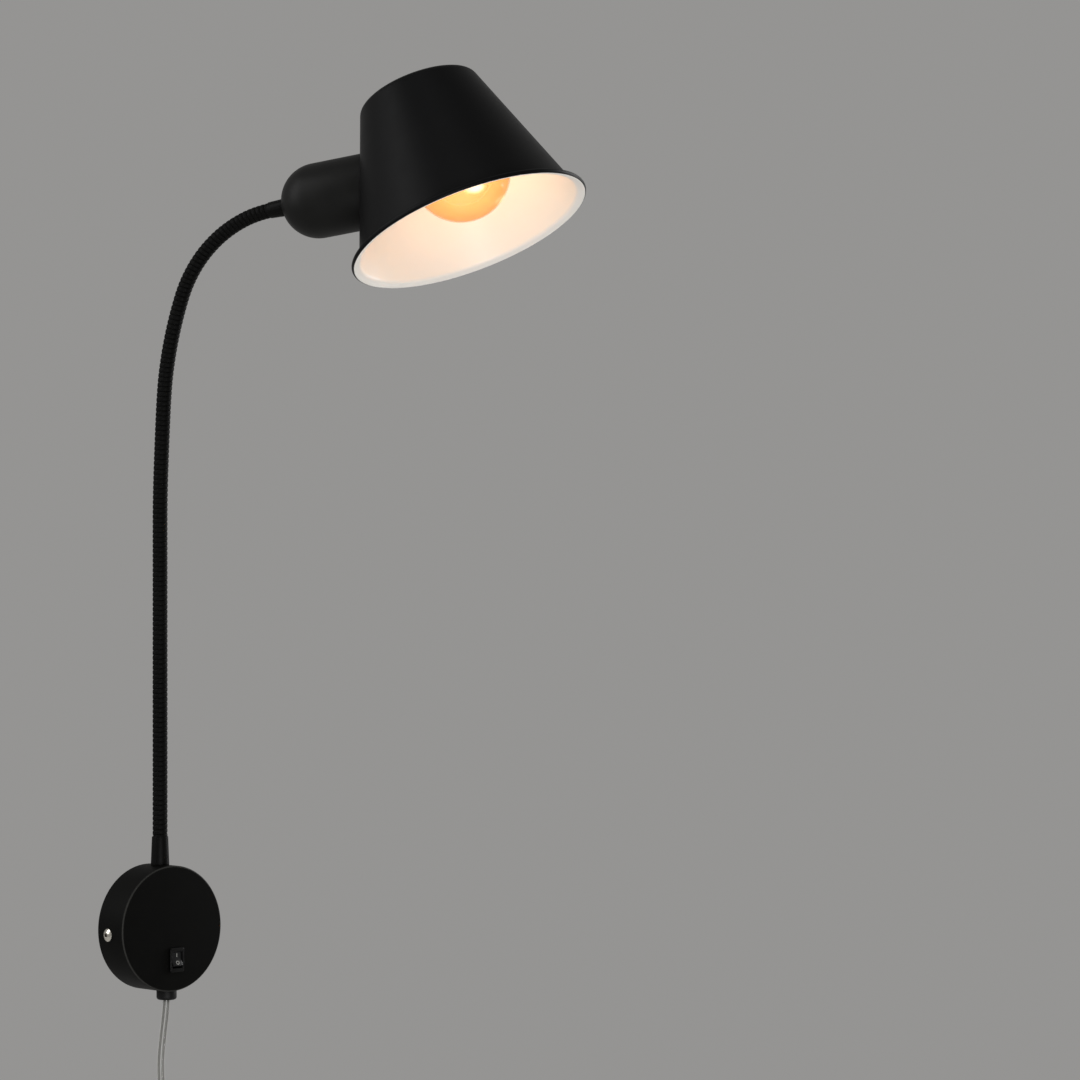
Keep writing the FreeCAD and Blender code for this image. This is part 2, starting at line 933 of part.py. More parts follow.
def make_neck():
    r = v.neck_radius
    bore = r - v.neck_wall
    socket = r + v.socket_gap
    seat = v.canopy_radius + v.base_collar_height - v.neck_seat_depth + v.running_gap
    top = v.canopy_radius + 2 + v.first_hinge
    first = turned(
        "neck_foot",
        [
            (bore, seat),
            (r, seat),
            (r, top - v.socket_drop),
            (root(socket * socket - v.socket_drop * v.socket_drop), top - v.socket_drop, -socket),
            (bore, top - root(socket * socket - bore * bore)),
        ],
    )
    node("neck_01", first, COLLAR)
    for index, frame in enumerate(HINGES[:-1]):
        label = "neck_%02d" % (index + 2)
        node(label, neck_segment(label + "_link", HINGE_LEGS[index + 1]), frame)
    end = v.last_length - v.head_collar_height + v.head_seat_depth
    last = turned(
        "neck_end",
        [
            (bore, -root(r * r - bore * bore), r),
            (r, 0),
            (r, end),
            (bore, end),
        ],
    )
    node("neck_%02d" % (len(HINGES) + 1), last, HINGES[-1])


def make_neck_cable():
    bent = [frame.Base for frame, turn in zip(HINGES, HINGE_TURNS) if number(turn)]
    start = COLLAR.multVec(FreeCAD.Vector(0, 0, number(v.canopy_radius - v.base_collar_thread)))
    end = HEAD.multVec(FreeCAD.Vector(0, 0, number(v.holder_floor) - 1))
    points = [start] + bent + [end]
    solid, _ = tube(points, v.neck_cable_radius)
    node("neck_cable", shaped("neck_cable_solid", solid))


# ---------------------------------------------------------------- head


def make_head_collar():
    pole = -v.cup_radius
    start = pole - v.head_collar_height
    seat = start + v.head_seat_depth
    chamfer = v.collar_chamfer
    body = turned(
        "head_collar_body",
        [
            (v.neck_radius + v.thread_gap, start),
            (v.head_collar_mouth - chamfer / 3, start),
            (v.head_collar_mouth, start + chamfer),
            (v.head_collar_foot, pole + 2),
            (v.wire_way, pole + 2),
            (v.wire_way, seat),
            (v.neck_radius + v.thread_gap, seat),
        ],
    )
    stub = sleeve(
        "head_stub", v.wire_way, v.thread_radius, pole - 0.5, pole + v.head_collar_thread
    )
    saddle = cut("head_collar_saddle", body, ball("dome_ball", v.cup_radius))
    node("head_collar", fused("head_collar_whole", saddle, stub), HEAD)

    inner = v.cup_radius - v.cup_sheet
    corner = v.nut_flats / math.sqrt(3)
    back = -root(inner * inner - corner * corner) + v.thread_gap
    nut = cut(
        "head_nut_bored",
        hexagon("head_hexagon", v.nut_flats, v.nut_height, (0, 0, back)),
        rod("head_bore", v.thread_radius + v.thread_gap, v.nut_height + 2, (0, 0, back - 1)),
    )
    node("head_nut", nut, HEAD)


def shade_flare_radius():
    return v.shade_rim_radius - v.shade_flare_width


def shade_slope():
    """How much the shade's radius grows for each millimetre down."""
    return (shade_flare_radius() - v.shade_top_radius) / (v.shade_height - v.shade_flare_height)


def shade_cone(name, inset):
    """The shade's straight wall as a solid cone in the head's frame, moved in by that much."""
    slope = shade_slope()
    cone = doc.addObject("Part::Cone", name)
    bottom = shade_flare_radius() + slope * v.shade_flare_height - inset
    bind(cone, "Radius1", bottom)
    bind(cone, "Radius2", bottom - slope * v.shade_height)
    bind(cone, "Height", v.shade_height)
    cone.Placement = SHADE_IN_HEAD
    return cone


def make_cup():
    r, sheet_wall, end = v.cup_radius, v.cup_sheet, v.cup_length
    inner = r - sheet_wall
    blank = turned(
        "cup_blank",
        [
            (0, -r, r),
            (r, 0),
            (r, end),
            (inner, end),
            (inner, 0, -inner),
            (0, -inner),
        ],
    )
    hole = rod("cup_hole", v.thread_radius + v.thread_gap, 10, (0, 0, -r - 2))
    cup = cut("cup_coped", blank, hole, shade_cone("cup_cope", 0))
    node("socket_cup", cup, HEAD)


def make_holder():
    r, wall = v.holder_radius, v.holder_wall
    bore = v.thread_radius + v.thread_gap
    cap = turned(
        "holder_cap_body",
        [
            (bore, v.cap_start),
            (v.cap_boss_radius, v.cap_start),
            (v.cap_boss_radius, v.cap_shoulder),
            (r, v.cap_shoulder + 6),
            (r, v.cap_end),
            (r - wall, v.cap_end),
            (r - wall, v.cap_shoulder + 7),
            (bore, v.cap_shoulder + 1),
        ],
    )
    node("holder_cap", cap, HEAD)
    floor, deck = v.holder_floor, v.holder_floor + v.holder_floor_sheet
    barrel = turned(
        "holder_barrel",
        [
            (0, floor),
            (r - wall, floor),
            (r - wall, v.cap_end),
            (r, v.cap_end),
            (r, v.holder_end),
            (v.shell_radius + v.thread_gap, v.holder_end),
            (v.shell_radius + v.thread_gap, deck),
            (0, deck),
        ],
    )
    holes = [
        rod(
            "holder_screw_hole",
            v.holder_screw_radius + v.thread_gap,
            v.holder_floor_sheet + 2,
            (0, v.holder_screw_spacing * side, floor - 1),
        )
        for side in (-0.5, 0.5)
    ]
    node("holder_body", cut("holder_drilled", barrel, *holes), HEAD)
    shell = sleeve(
        "shell_tube", v.shell_radius - v.shell_sheet, v.shell_radius, deck + 0.5, v.shell_end
    )
    node("screw_shell", shell, HEAD)
    post = disc("contact_post", v.contact_radius, deck, v.bulb_tip)
    node("centre_contact", post, HEAD)
    # the terminal screws stand in the floor and reach back into the wiring space
    screw = fused(
        "holder_screw",
        rod("holder_screw_shank", v.holder_screw_radius, v.holder_floor_sheet, (0, 0, 0)),
        rod("holder_screw_head", v.holder_screw_radius * 1.7, 2, (0, 0, -2)),
    )
    spots = [place(0, v.holder_screw_spacing * side, floor) for side in (-0.5, 0.5)]
    node("holder_screws", copies("holder_screw_pair", screw, spots), HEAD)


def make_shade():
    flare_height, height = v.shade_flare_height, v.shade_height
    bottom = v.shade_bead * 1.1
    solid = turned(
        "shade_solid",
        [
            (0, bottom),
            (v.shade_rim_radius, bottom),
            (shade_flare_radius(), flare_height),
            (v.shade_top_radius, height),
            (0, height),
        ],
    )
    rounded(solid, v.shade_edge, ring_edge(shade_flare_radius(), flare_height))
    rounded(solid, v.shade_edge, ring_edge(v.shade_top_radius, height))
    shell = hollowed("shade_shell", solid, v.shade_sheet, bottom)
    bead = doc.addObject("Part::Torus", "shade_bead")
    bind(bead, "Radius1", v.shade_rim_radius)
    bind(bead, "Radius2", v.shade_bead)
    put(bead, (0, 0, bottom))
    # the hole follows the cup's axis, not the shade's
    hole = doc.addObject("Part::Cylinder", "shade_hole")
    bind(hole, "Radius", v.holder_radius + v.loose_fit * 2)
    bind(hole, "Height", v.shade_from_cup)
    hole.Placement = SHADE_IN_HEAD.inverse()
    shade = cut("shade_drilled", fused("shade_beaded", shell, bead), hole)
    node("shade", shade, SHADE)


def make_shade_ring():
    bore = v.holder_radius + v.thread_gap
    ring = sleeve("ring_sleeve", bore, bore + v.ring_wall, v.ring_face / 2, v.ring_face)
    slope = shade_slope()
    inset = v.shade_sheet * root(slope * slope + 1) + v.thread_gap
    node("shade_ring", kept_inside("ring_saddle", ring, shade_cone("ring_cope", inset)), HEAD)


def make_bulb():
    r, centre = v.bulb_radius, v.bulb_centre
    neck = v.bulb_neck_radius
    shoulder = (r * sine(v.bulb_neck_angle), centre - r * cosine(v.bulb_neck_angle))
    start = v.bulb_glass_start
    solid = turned(
        "bulb_solid",
        [
            (0, start),
            (neck, start),
            (neck, v.bulb_neck_start, -v.bulb_neck_curve),
            (shoulder[0], shoulder[1], r),
            (0, centre + r),
        ],
    )
    node("bulb_glass", hollowed("bulb_shell", solid, v.glass, start), HEAD)

    cap_r = v.bulb_cap_radius
    cap = turned(
        "bulb_cap_body",
        [
            (v.insulator_radius, v.bulb_cap_start - 1),
            (cap_r, v.bulb_cap_start + 2),
            (cap_r, v.bulb_cap_end),
            (neck + 0.1, v.bulb_cap_end),
            (neck + 0.1, v.bulb_cap_start + 3),
            (v.insulator_radius, v.bulb_cap_start + 1),
        ],
    )
    node("bulb_cap", cap, HEAD)
    insulator = turned(
        "insulator_disc",
        [
            (v.bulb_contact_radius, v.bulb_tip + 0.8),
            (v.insulator_radius, v.bulb_cap_start - 1),
            (v.insulator_radius, v.bulb_cap_start + 1),
            (0, v.bulb_cap_start + 1),
            (0, v.bulb_tip + 0.8),
        ],
    )
    node("bulb_insulator", insulator, HEAD)
    button = disc("bulb_button", v.bulb_contact_radius, v.bulb_tip, v.bulb_tip + 0.8)
    node("bulb_contact", button, HEAD)
    stem = turned(
        "stem_body",
        [
            (0, start),
            (neck - v.glass - 0.1, start),
            (neck - v.glass - 0.1, start + 3),
            (v.stem_radius, start + 12),
            (v.stem_radius, v.stem_end),
            (0, v.stem_end),
        ],
    )
    node("bulb_stem", stem, HEAD)

    long = v.filament_end - v.filament_start
    strip = rod("filament", v.filament_radius, long, (v.filament_spread, 0, v.filament_start))
    quarters = [place(rotation=FreeCAD.Rotation(Z_AXIS, 45 + 90 * k)) for k in range(4)]
    node("led_filaments", copies("filament_set", strip, quarters), HEAD)
    wires = []
    spread = number(v.filament_spread)
    low = number(v.stem_end + v.support_radius + v.thread_gap)
    high = number(v.filament_end + v.thread_gap)
    start_height = number(v.filament_start - v.thread_gap)
    step = number(v.filament_step)
    for quarter in quarters:
        foot = [
            FreeCAD.Vector(1.5, 0, low),
            FreeCAD.Vector(spread * 0.75, 0, low),
            FreeCAD.Vector(spread, 0, start_height - step),
            FreeCAD.Vector(spread, 0, start_height),
        ]
        tip = [
            FreeCAD.Vector(spread, 0, high),
            FreeCAD.Vector(spread, 0, high + step),
            FreeCAD.Vector(0.8, 0, high + step * 3),
        ]
        wires.append(tube([quarter.multVec(p) for p in foot], v.support_radius)[0])
        wires.append(tube([quarter.multVec(p) for p in tip], v.support_radius)[0])
    wires.append(
        Part.makeCylinder(1.0, high + step * 4 - low, FreeCAD.Vector(0, 0, low))
    )
    node("filament_supports", shaped("support_set", Part.makeCompound(wires)), HEAD)


# ---------------------------------------------------------------- leads, cord and plug

CORD_POINTS = [
    (4.5, -18.0, -56.0),
    (3.6, -18.0, -67.0),
    (0.9, -17.8, -85.0),
    (-1.3, -17.6, -104.0),
    (-0.6, -17.6, -123.0),
    (0.3, -17.8, -143.0),
    (0.2, -18.0, -160.0),
]
PLUG_ROUTE = [
    (0.0, -24.0, -167.0),
    (-2.5, -23.0, -177.0),
    (-8.0, -20.5, -187.0),
    (-10.5, -20.0, -196.0),
]


def make_leads():
    """Short insulated leads between the cord, the block, the switch and the neck."""
    up = number(v.side_screw_up)
    half = number(v.block_height) / 2
    deep = number(v.bracket_sheet) + 3
    pitch = number(v.pole_spacing)
    # each end stops a little short of the piece that it joins
    top = number(v.canopy_radius - v.base_collar_thread - v.lead_end_gap)
    out = number(v.canopy_depth) / 2
    blade = number(v.canopy_depth - v.switch_depth - v.blade_length - v.lead_end_gap)
    low = -number(v.canopy_radius - v.gland_thread_length)
    switch_x, switch_y = number(v.switch_across), number(v.switch_up)
    spacing = number(v.blade_spacing)
    gland_x, gland_z = number(v.gland_across), number(v.gland_out)
    paths = [
        [(-pitch, up + half, deep), (-pitch, 20, 7), (-1.2, top - 6, out - 2), (-1.2, top, out)],
        [(pitch, up + half, deep), (pitch, 20, 7), (1.2, top - 6, out - 2), (1.2, top, out)],
        [
            (0, up - half, deep),
            (-6, -20, deep + 1),
            (switch_x - 4, switch_y + spacing / 2, blade - 7),
            (switch_x, switch_y + spacing / 2, blade),
        ],
        [
            (gland_x - 1.4, low, gland_z),
            (switch_x - 3, low + 5, gland_z - 10),
            (switch_x, switch_y - spacing / 2 - 2, blade - 7),
            (switch_x, switch_y - spacing / 2, blade),
        ],
        [
            (gland_x + 1.4, low, gland_z),
            (14, -30, 9),
            (11, up - half - 6, deep),
            (pitch, up - half, deep),
        ],
    ]
    solids = [tube(path, v.lead_radius)[0] for path in paths]
    node("internal_leads", shaped("lead_set", Part.makeCompound(solids)), WALL)


def make_cord():
    solid, radii = tube(CORD_POINTS, v.cord_radius)
    print("cord radii", [round(radius) for radius in radii])
    node("cord_tube", shaped("cord_tube_solid", solid))
    solid, radii = tube(PLUG_ROUTE, v.cord_radius)
    print("plug end radii", [round(radius) for radius in radii])
    node("cord_end", shaped("cord_end_solid", solid))
    spread = v.cord_radius * v.coil_layers
    inner, outer = v.coil_middle_radius - spread, v.coil_middle_radius + spread
    soft = v.cord_radius * 0.9
    coil = turned(
        "coil_body",
        [
            (inner + soft, -spread),
            (outer - soft, -spread, soft),
            (outer, soft - spread),
            (outer, spread - soft, soft),
            (outer - soft, spread),
            (inner + soft, spread, soft),
            (inner, spread - soft),
            (inner, soft - spread, soft),
        ],
    )
    centre = place(v.coil_across, -v.coil_out, v.coil_up, FreeCAD.Rotation(X_AXIS, 90))
    node("cord_coil", coil, centre)

    window = spread + v.tie_gap
    band = cut(
        "tie_band",
        box(
            "tie_block",
            window * 2 + v.tie_wall * 2,
            v.tie_width,
            window * 2 + v.tie_wall * 2,
            (v.coil_middle_radius, 0),
            -window - v.tie_wall,
        ),
        box("tie_window", window * 2, v.tie_width * 2, window * 2, (v.coil_middle_radius, 0), -window),
    )
    node("cord_tie", band, centre.multiply(place(rotation=FreeCAD.Rotation(Z_AXIS, 60))))


def make_plug():
    last, before = PLUG_ROUTE[-1], PLUG_ROUTE[-2]
    way = (FreeCAD.Vector(*last) - FreeCAD.Vector(*before)).normalize()
    # own frame: Z along the pins, X across the plug's width
    spot = FreeCAD.Placement(FreeCAD.Vector(*last), FreeCAD.Rotation(Y_AXIS, FreeCAD.Vector(), way, "ZXY"))
    length, width = v.plug_length, v.plug_width
    tail = v.plug_tail
    body = padded(
        "plug_block",
        "XZ_Plane",
        [
            (-tail, 0),
            (tail, 0),
            (tail, length / 3),
            (width / 2, length * 2 / 3),
            (width / 2, length),
            (-width / 2, length),
            (-width / 2, length * 2 / 3),
            (-tail, length / 3),
        ],
        v.plug_thickness,
    )
    rounded(body, 2.5, lambda edge: edge.CenterOfMass.z < number(length) - 1 and abs(edge.CenterOfMass.y) > 1)
    sockets = [
        rod("pin_socket", v.pin_radius, 6, (v.pin_spacing * side, 0, length - 6)) for side in (-0.5, 0.5)
    ]
    node("plug_body", cut("plug_drilled", body, *sockets), spot)
    pin = turned(
        "pin_blank",
        [
            (0, -6),
            (v.pin_radius, -6),
            (v.pin_radius, v.pin_length - 1, v.pin_radius),
            (0, v.pin_length + 1),
        ],
    )
    pair = [place(v.pin_spacing * side, 0, length) for side in (-0.5, 0.5)]
    node("plug_pins", copies("pin_pair", pin, pair), spot)


def check_objects():
    for thing in doc.Objects:
        if "Invalid" in thing.State or "Error" in thing.State:
            raise ValueError(thing.Name + " failed: " + str(thing.State))
    for label, thing in nodes.items():
        if thing.Shape.isNull() or not thing.Shape.isValid():
            raise ValueError(label + " has no valid shape")


def write_parts():
    os.makedirs("parts", exist_ok=True)
    for label, thing in nodes.items():
        thing.Shape.exportStep("parts/" + label + ".step")
        solids = len(thing.Shape.Solids)
        print("%-18s %2d solids %10.1f mm3" % (label, solids, thing.Shape.Volume))


make_canopy()
make_bracket()
make_side_screws()
make_switch()
make_terminal_block()
make_gland()
make_base_collar()
make_neck()
make_neck_cable()
make_head_collar()
make_cup()
make_holder()
make_shade()
make_shade_ring()
make_bulb()
make_leads()
make_cord()
make_plug()
doc.recompute()
check_objects()
write_parts()
print(len(nodes), "nodes")
print("head", HEAD.Base, HEAD.Rotation.multVec(Z_AXIS), "shade", SHADE.Base)
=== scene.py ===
import math

import bpy
from mathutils import Matrix, Vector


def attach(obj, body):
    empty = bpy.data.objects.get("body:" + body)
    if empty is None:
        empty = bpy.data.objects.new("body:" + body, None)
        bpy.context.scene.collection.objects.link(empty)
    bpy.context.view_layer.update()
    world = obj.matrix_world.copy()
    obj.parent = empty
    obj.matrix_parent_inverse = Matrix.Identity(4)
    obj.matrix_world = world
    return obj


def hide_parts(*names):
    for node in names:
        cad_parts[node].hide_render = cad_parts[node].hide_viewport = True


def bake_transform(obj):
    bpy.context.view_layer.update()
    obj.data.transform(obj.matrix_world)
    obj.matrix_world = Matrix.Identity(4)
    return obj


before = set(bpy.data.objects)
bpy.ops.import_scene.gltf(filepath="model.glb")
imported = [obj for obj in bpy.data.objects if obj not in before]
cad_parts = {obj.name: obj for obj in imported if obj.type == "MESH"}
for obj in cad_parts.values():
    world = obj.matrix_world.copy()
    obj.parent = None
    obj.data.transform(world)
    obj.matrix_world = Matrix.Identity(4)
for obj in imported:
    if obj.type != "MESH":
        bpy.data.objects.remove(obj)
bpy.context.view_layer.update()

# ---------------------------------------------------------------- camera and studio
# The lamp is seen level from its left front, from about three metres. A grey room lights it
# evenly, and large soft boxes on both sides draw the pale edges of the black paint.

AIM = Vector((0.2146, -0.2206, 0.3026))
CAMERA_AZIMUTH = -43.7
CAMERA_DISTANCE = 3.125


def seen_from(azimuth, elevation, distance):
    """The place that far from the lamp, at an azimuth from the front and a height angle."""
    side, up = math.radians(azimuth), math.radians(elevation)
    level = distance * math.cos(up)
    return AIM + Vector((level * math.sin(side), -level * math.cos(side), distance * math.sin(up)))


def placed(thing):
    """Put a new object into the scene."""
    bpy.context.scene.collection.objects.link(thing)
    return thing


def add_camera():
    data = bpy.data.cameras.new("camera")
    data.sensor_width = 36
    data.lens = 133.33
    data.clip_end = 50
    camera = placed(bpy.data.objects.new("camera", data))
    camera.location = seen_from(CAMERA_AZIMUTH, 0, CAMERA_DISTANCE)
    camera.rotation_euler = (math.radians(90), 0, math.radians(CAMERA_AZIMUTH))
    bpy.context.scene.camera = camera


def add_soft_box(name, azimuth, elevation, distance, width, height, watts):
    data = bpy.data.lights.new(name, "AREA")
    data.shape = "RECTANGLE"
    data.size, data.size_y = width, height
    data.energy = watts
    lamp = placed(bpy.data.objects.new(name, data))
    lamp.location = seen_from(azimuth, elevation, distance)
    lamp.rotation_euler = (AIM - lamp.location).to_track_quat("-Z", "Y").to_euler()
    lamp.visible_camera = False


add_camera()
add_soft_box("left_box", -118, 26, 2.2, 1.2, 1.8, 21)
add_soft_box("right_box", 84, 14, 2.4, 1.0, 1.8, 33)
add_soft_box("top_box", -60, 66, 2.2, 1.0, 1.0, 3.5)
add_soft_box("front_fill", -38, -17, 2.2, 1.0, 0.5, 22)

ROOM_GREY = (0.300, 0.296, 0.290, 1)
world = bpy.data.worlds.new("room")
world.use_nodes = True
world.node_tree.nodes["Background"].inputs["Color"].default_value = ROOM_GREY
bpy.context.scene.world = world
bpy.context.scene.view_settings.view_transform = "Standard"


# ---------------------------------------------------------------- canopy
# The round canopy is one cup pressed from 1.2 mm steel, with a small radius at its front edge and a
# fine matt powder coat. It is pierced for the neck's collar, the switch, the cord and two screws.

MM = 0.001
FULL_TURN = 2 * math.pi
FINE = 96
# points of one piece that lie nearer together than this are merged
MERGE = 0.001 * MM
DEGREES_A_STEP = 11

CANOPY_RADIUS, CANOPY_DEPTH, CANOPY_SHEET = 49.0, 31.0, 1.2
SWITCH_ACROSS, SWITCH_UP = 3.5, -24.5
CORD_ACROSS, CORD_OUT = 4.5, 18.0
# how far from the canopy's side or front its paler edge begins, and is at its palest: a painted highlight
# along the rounding, where the coat is also a little thinner
PALE_EDGE_START, PALE_EDGE_FULL = 1.3, 0.5
# the paler colour of that edge: a painted highlight over a thinner coat
EDGE_HIGHLIGHT_COAT = (0.062, 0.062, 0.058)


class Value:
    """A number in a material. An operator on it adds the Math node that works it out."""

    def __init__(self, finish, socket):
        self.finish = finish
        self.socket = socket

    def sum(self, operation, first, second):
        return self.finish.node("Math", {"operation": operation}, {0: first, 1: second})

    def __add__(self, other):
        return self.sum("ADD", self, other)

    def __sub__(self, other):
        return self.sum("SUBTRACT", self, other)

    def __rsub__(self, other):
        return self.sum("SUBTRACT", other, self)

    def __mul__(self, other):
        return self.sum("MULTIPLY", self, other)

    __radd__ = __add__
    __rmul__ = __mul__


class Finish:
    """A material on one Principled shader, with the nodes that feed it."""

    def __init__(self, name, colour, roughness, **plain):
        self.material = bpy.data.materials.new(name)
        self.material.use_nodes = True
        self.tree = self.material.node_tree
        self.shader = self.tree.nodes["Principled BSDF"]
        self.set({"Base Color": colour, "Roughness": roughness})
        self.set({key.replace("_", " "): value for key, value in plain.items()})

    def fill(self, socket, value):
        if isinstance(value, Value):
            self.tree.links.new(value.socket, socket)
        elif isinstance(value, tuple) and socket.type == "RGBA":
            socket.default_value = (*value, 1)
        else:
            socket.default_value = value

    def set(self, sockets):
        for name, value in sockets.items():
            self.fill(self.shader.inputs[name], value)
        return self

    def node(self, kind, settings, sockets, output=0):
        """Any node by its type: its settings first, then its sockets by name or number."""
        node = self.tree.nodes.new("ShaderNode" + kind)
        for key, value in settings.items():
            setattr(node, key, value)
        for key, value in sockets.items():
            self.fill(node.inputs[key], value)
        return Value(self, node.outputs[output])

    def place(self):
        return self.node("TexCoord", {}, {}, "Object")

    def grain(self, size_mm, detail=2.0, stretch=(1, 1, 1)):
        """Soft random blotches of about that size, from 0 to 1."""
        spot = self.node("Mapping", {}, {"Vector": self.place(), "Scale": Vector(stretch)})
        return self.node(
            "TexNoise", {}, {"Vector": spot, "Scale": 1 / (size_mm * MM), "Detail": detail}
        )

    def mixed(self, share, first, second):
        """The first colour at share 0 and the second at 1."""
        return self.node("Mix", {"data_type": "RGBA"}, {0: share, 6: first, 7: second}, 2)

    def bumped(self, height, depth_mm, strength=1.0):
        bump = self.node(
            "Bump", {}, {"Strength": strength, "Distance": depth_mm * MM, "Height": height}
        )
        return self.set({"Normal": bump})


def powder_coat(name, dark, pale, roughness, gloss=0.08, edge_highlight=None):
    """Baked matt powder: pebbled finely, and a little uneven in its sheen. An edge mask, if given, paints a
    highlight there.
    """
    finish = Finish(name, dark, roughness, Specular_IOR_Level=gloss)
    cloud = finish.grain(14)
    pebble = finish.grain(0.42, 3)
    colour = finish.mixed(cloud, dark, pale)
    # a speckled painted highlight along the edge that the mask picks out
    if edge_highlight:
        colour = finish.mixed(edge_highlight(finish) * pebble, colour, EDGE_HIGHLIGHT_COAT)
    sheen = (cloud - 0.5) * 0.12 + (pebble - 0.5) * 0.1 + roughness
    finish.set({"Base Color": colour, "Roughness": sheen})
    return finish.bumped(pebble, 0.05, 0.55).material


def canopy_edge_highlight(finish):
    """1 on the rounding between the canopy's front and its side, where the coat is thin and a highlight is
    painted, else 0.
    """
    spot = finish.node("Mapping", {}, {"Vector": finish.place(), "Scale": Vector((1, 0, 1)) / MM})
    radius = finish.node("VectorMath", {"operation": "LENGTH"}, {0: spot}, "Value")
    out = finish.node("SeparateXYZ", {}, {0: finish.place()}, "Y")
    near_side, near_front = (
        finish.node("MapRange", {}, {0: reach, 1: edge - PALE_EDGE_START, 2: edge - PALE_EDGE_FULL})
        for reach, edge in ((radius, CANOPY_RADIUS), (out * (-1 / MM), CANOPY_DEPTH))
    )
    return near_side * near_front


canopy_coat = powder_coat(
    "canopy_powder_coat", (0.0016, 0.0016, 0.0014), (0.0024, 0.0024, 0.0021), 0.52, 0.055, canopy_edge_highlight
)


def soft_corners(corners):
    """A line through (radius, height) corners. A third number rounds the corner to that radius."""
    line = []
    for index, corner in enumerate(corners):
        here = Vector(corner[:2])
        if len(corner) < 3:
            line.append(here)
            continue
        before = (Vector(corners[index - 1][:2]) - here).normalized()
        after = (Vector(corners[(index + 1) % len(corners)][:2]) - here).normalized()
        half = before.angle(after) / 2
        centre = here + (before + after).normalized() * (corner[2] / math.sin(half))
        start = here + before * (corner[2] / math.tan(half)) - centre
        sweep = start.angle_signed(here + after * (corner[2] / math.tan(half)) - centre)
        steps = max(2, round(math.degrees(abs(sweep)) / DEGREES_A_STEP))
        for step in range(steps + 1):
            line.append(centre + Matrix.Rotation(-sweep * step / steps, 2) @ start)
    return line


def arc(centre, radius, start, end, steps):
    """Points on a circle in the (radius, height) plane, from one angle to another in degrees."""
    angles = [math.radians(start + (end - start) * step / steps) for step in range(steps + 1)]
    return [
        (centre[0] + radius * math.cos(angle), centre[1] + radius * math.sin(angle))
        for angle in angles
    ]


def face_outwards():
    """Turn all faces of the piece in edit mode outwards, and leave edit mode."""
    bpy.ops.mesh.select_all(action="SELECT")
    bpy.ops.mesh.normals_make_consistent(inside=False)
    bpy.ops.object.mode_set(mode="OBJECT")


def settle():
    """Put the selected piece's place into its mesh."""
    bpy.ops.object.transform_apply(location=True, rotation=True, scale=True)


def seed(name):
    """A new piece of one point at the origin, selected and in edit mode."""
    bpy.ops.object.select_all(action="DESELECT")
    bpy.context.tool_settings.mesh_select_mode = (True, False, False)
    bpy.ops.mesh.primitive_plane_add(size=MM)
    piece = bpy.context.object
    piece.name = piece.data.name = name
    bpy.ops.object.mode_set(mode="EDIT")
    bpy.ops.mesh.merge(type="CENTER")
    return piece


def draw(line):
    """Extrude the selected point along a line of points in mm."""
    bpy.ops.transform.translate(value=line[0] * MM)
    for here, following in zip(line, line[1:]):
        bpy.ops.mesh.extrude_region_move(
            TRANSFORM_OT_translate={"value": (following - here) * MM}
        )


def pick(piece):
    """Select that piece alone, and make it the active one."""
    bpy.ops.object.select_all(action="DESELECT")
    piece.select_set(True)
    bpy.context.view_layer.objects.active = piece


def use_modifier(piece, kind, **settings):
    """Add a modifier, set it and apply it."""
    pick(piece)
    modifier = piece.modifiers.new(kind.lower(), kind)
    for key, value in settings.items():
        setattr(modifier, key, value)
    bpy.ops.object.modifier_apply(modifier=modifier.name)


def finished(piece, place, finishes, edge=0.0, smooth=32):
    """Ease the sharp edges, put the piece in its place in the lamp and give it its finishes."""
    if edge:
        use_modifier(
            piece, "BEVEL", width=edge * MM, segments=2, limit_method="ANGLE",
            angle_limit=math.radians(smooth), use_clamp_overlap=True,
        )
    pick(piece)
    piece.matrix_world = place
    settle()
    bpy.ops.object.shade_smooth_by_angle(angle=math.radians(smooth))
    piece.data.materials.clear()
    for finish in finishes:
        piece.data.materials.append(finish)


def turned(name, corners, steps=FINE):
    """A piece turned about its own Z from corners of (radius, height) in mm."""
    line = [Vector((point[0], 0, point[1])) for point in soft_corners(corners)]
    if line[0].x > 0 or line[-1].x > 0:
        line.append(line[0])
    piece = seed(name)
    draw(line)
    bpy.ops.mesh.select_all(action="SELECT")
    bpy.ops.mesh.spin(steps=steps, angle=FULL_TURN, center=(0, 0, 0), axis=(0, 0, 1))
    bpy.ops.mesh.select_all(action="SELECT")
    bpy.ops.mesh.remove_doubles(threshold=MERGE)
    bpy.ops.mesh.dissolve_degenerate(threshold=0.0005 * MM)
    bpy.ops.mesh.delete_loose()
    face_outwards()
    return piece


def at(x=0.0, y=0.0, z=0.0):
    return Matrix.Translation(Vector((x, y, z)) * MM)


def turn(degrees, axis):
    return Matrix.Rotation(math.radians(degrees), 4, axis)


def cut_by(piece, tool, place):
    """Take a tool's shape, in that place, out of the piece, and put the tool away."""
    tool.matrix_world = place
    use_modifier(piece, "BOOLEAN", operation="DIFFERENCE", solver="EXACT", object=tool)
    bpy.data.objects.remove(tool)


def drill(radius, start, end):
    return turned("drill", [(0, start), (radius, start), (radius, end), (0, end)], 48)


def ridden(piece, body, slot, *nodes):
    """The piece moves with that body and stands for those nodes; its slot is not used."""
    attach(piece, body)
    if nodes:
        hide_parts(*nodes)
    return piece


# own frame of the canopy: X right, Y up the wall, Z out of the wall
WALL = turn(90, "X")
COLLAR_PLACE = at(0, -CANOPY_DEPTH / 2, 0)
SWITCH_PLACE = WALL @ at(SWITCH_ACROSS, SWITCH_UP, CANOPY_DEPTH)
CORD_HOLE = at(CORD_ACROSS, -CANOPY_RADIUS, CORD_OUT) @ turn(90, "X")
GLAND_PLACE = WALL @ CORD_HOLE
SCREW_HEIGHT, SCREW_OUT = -3.0, 13.0


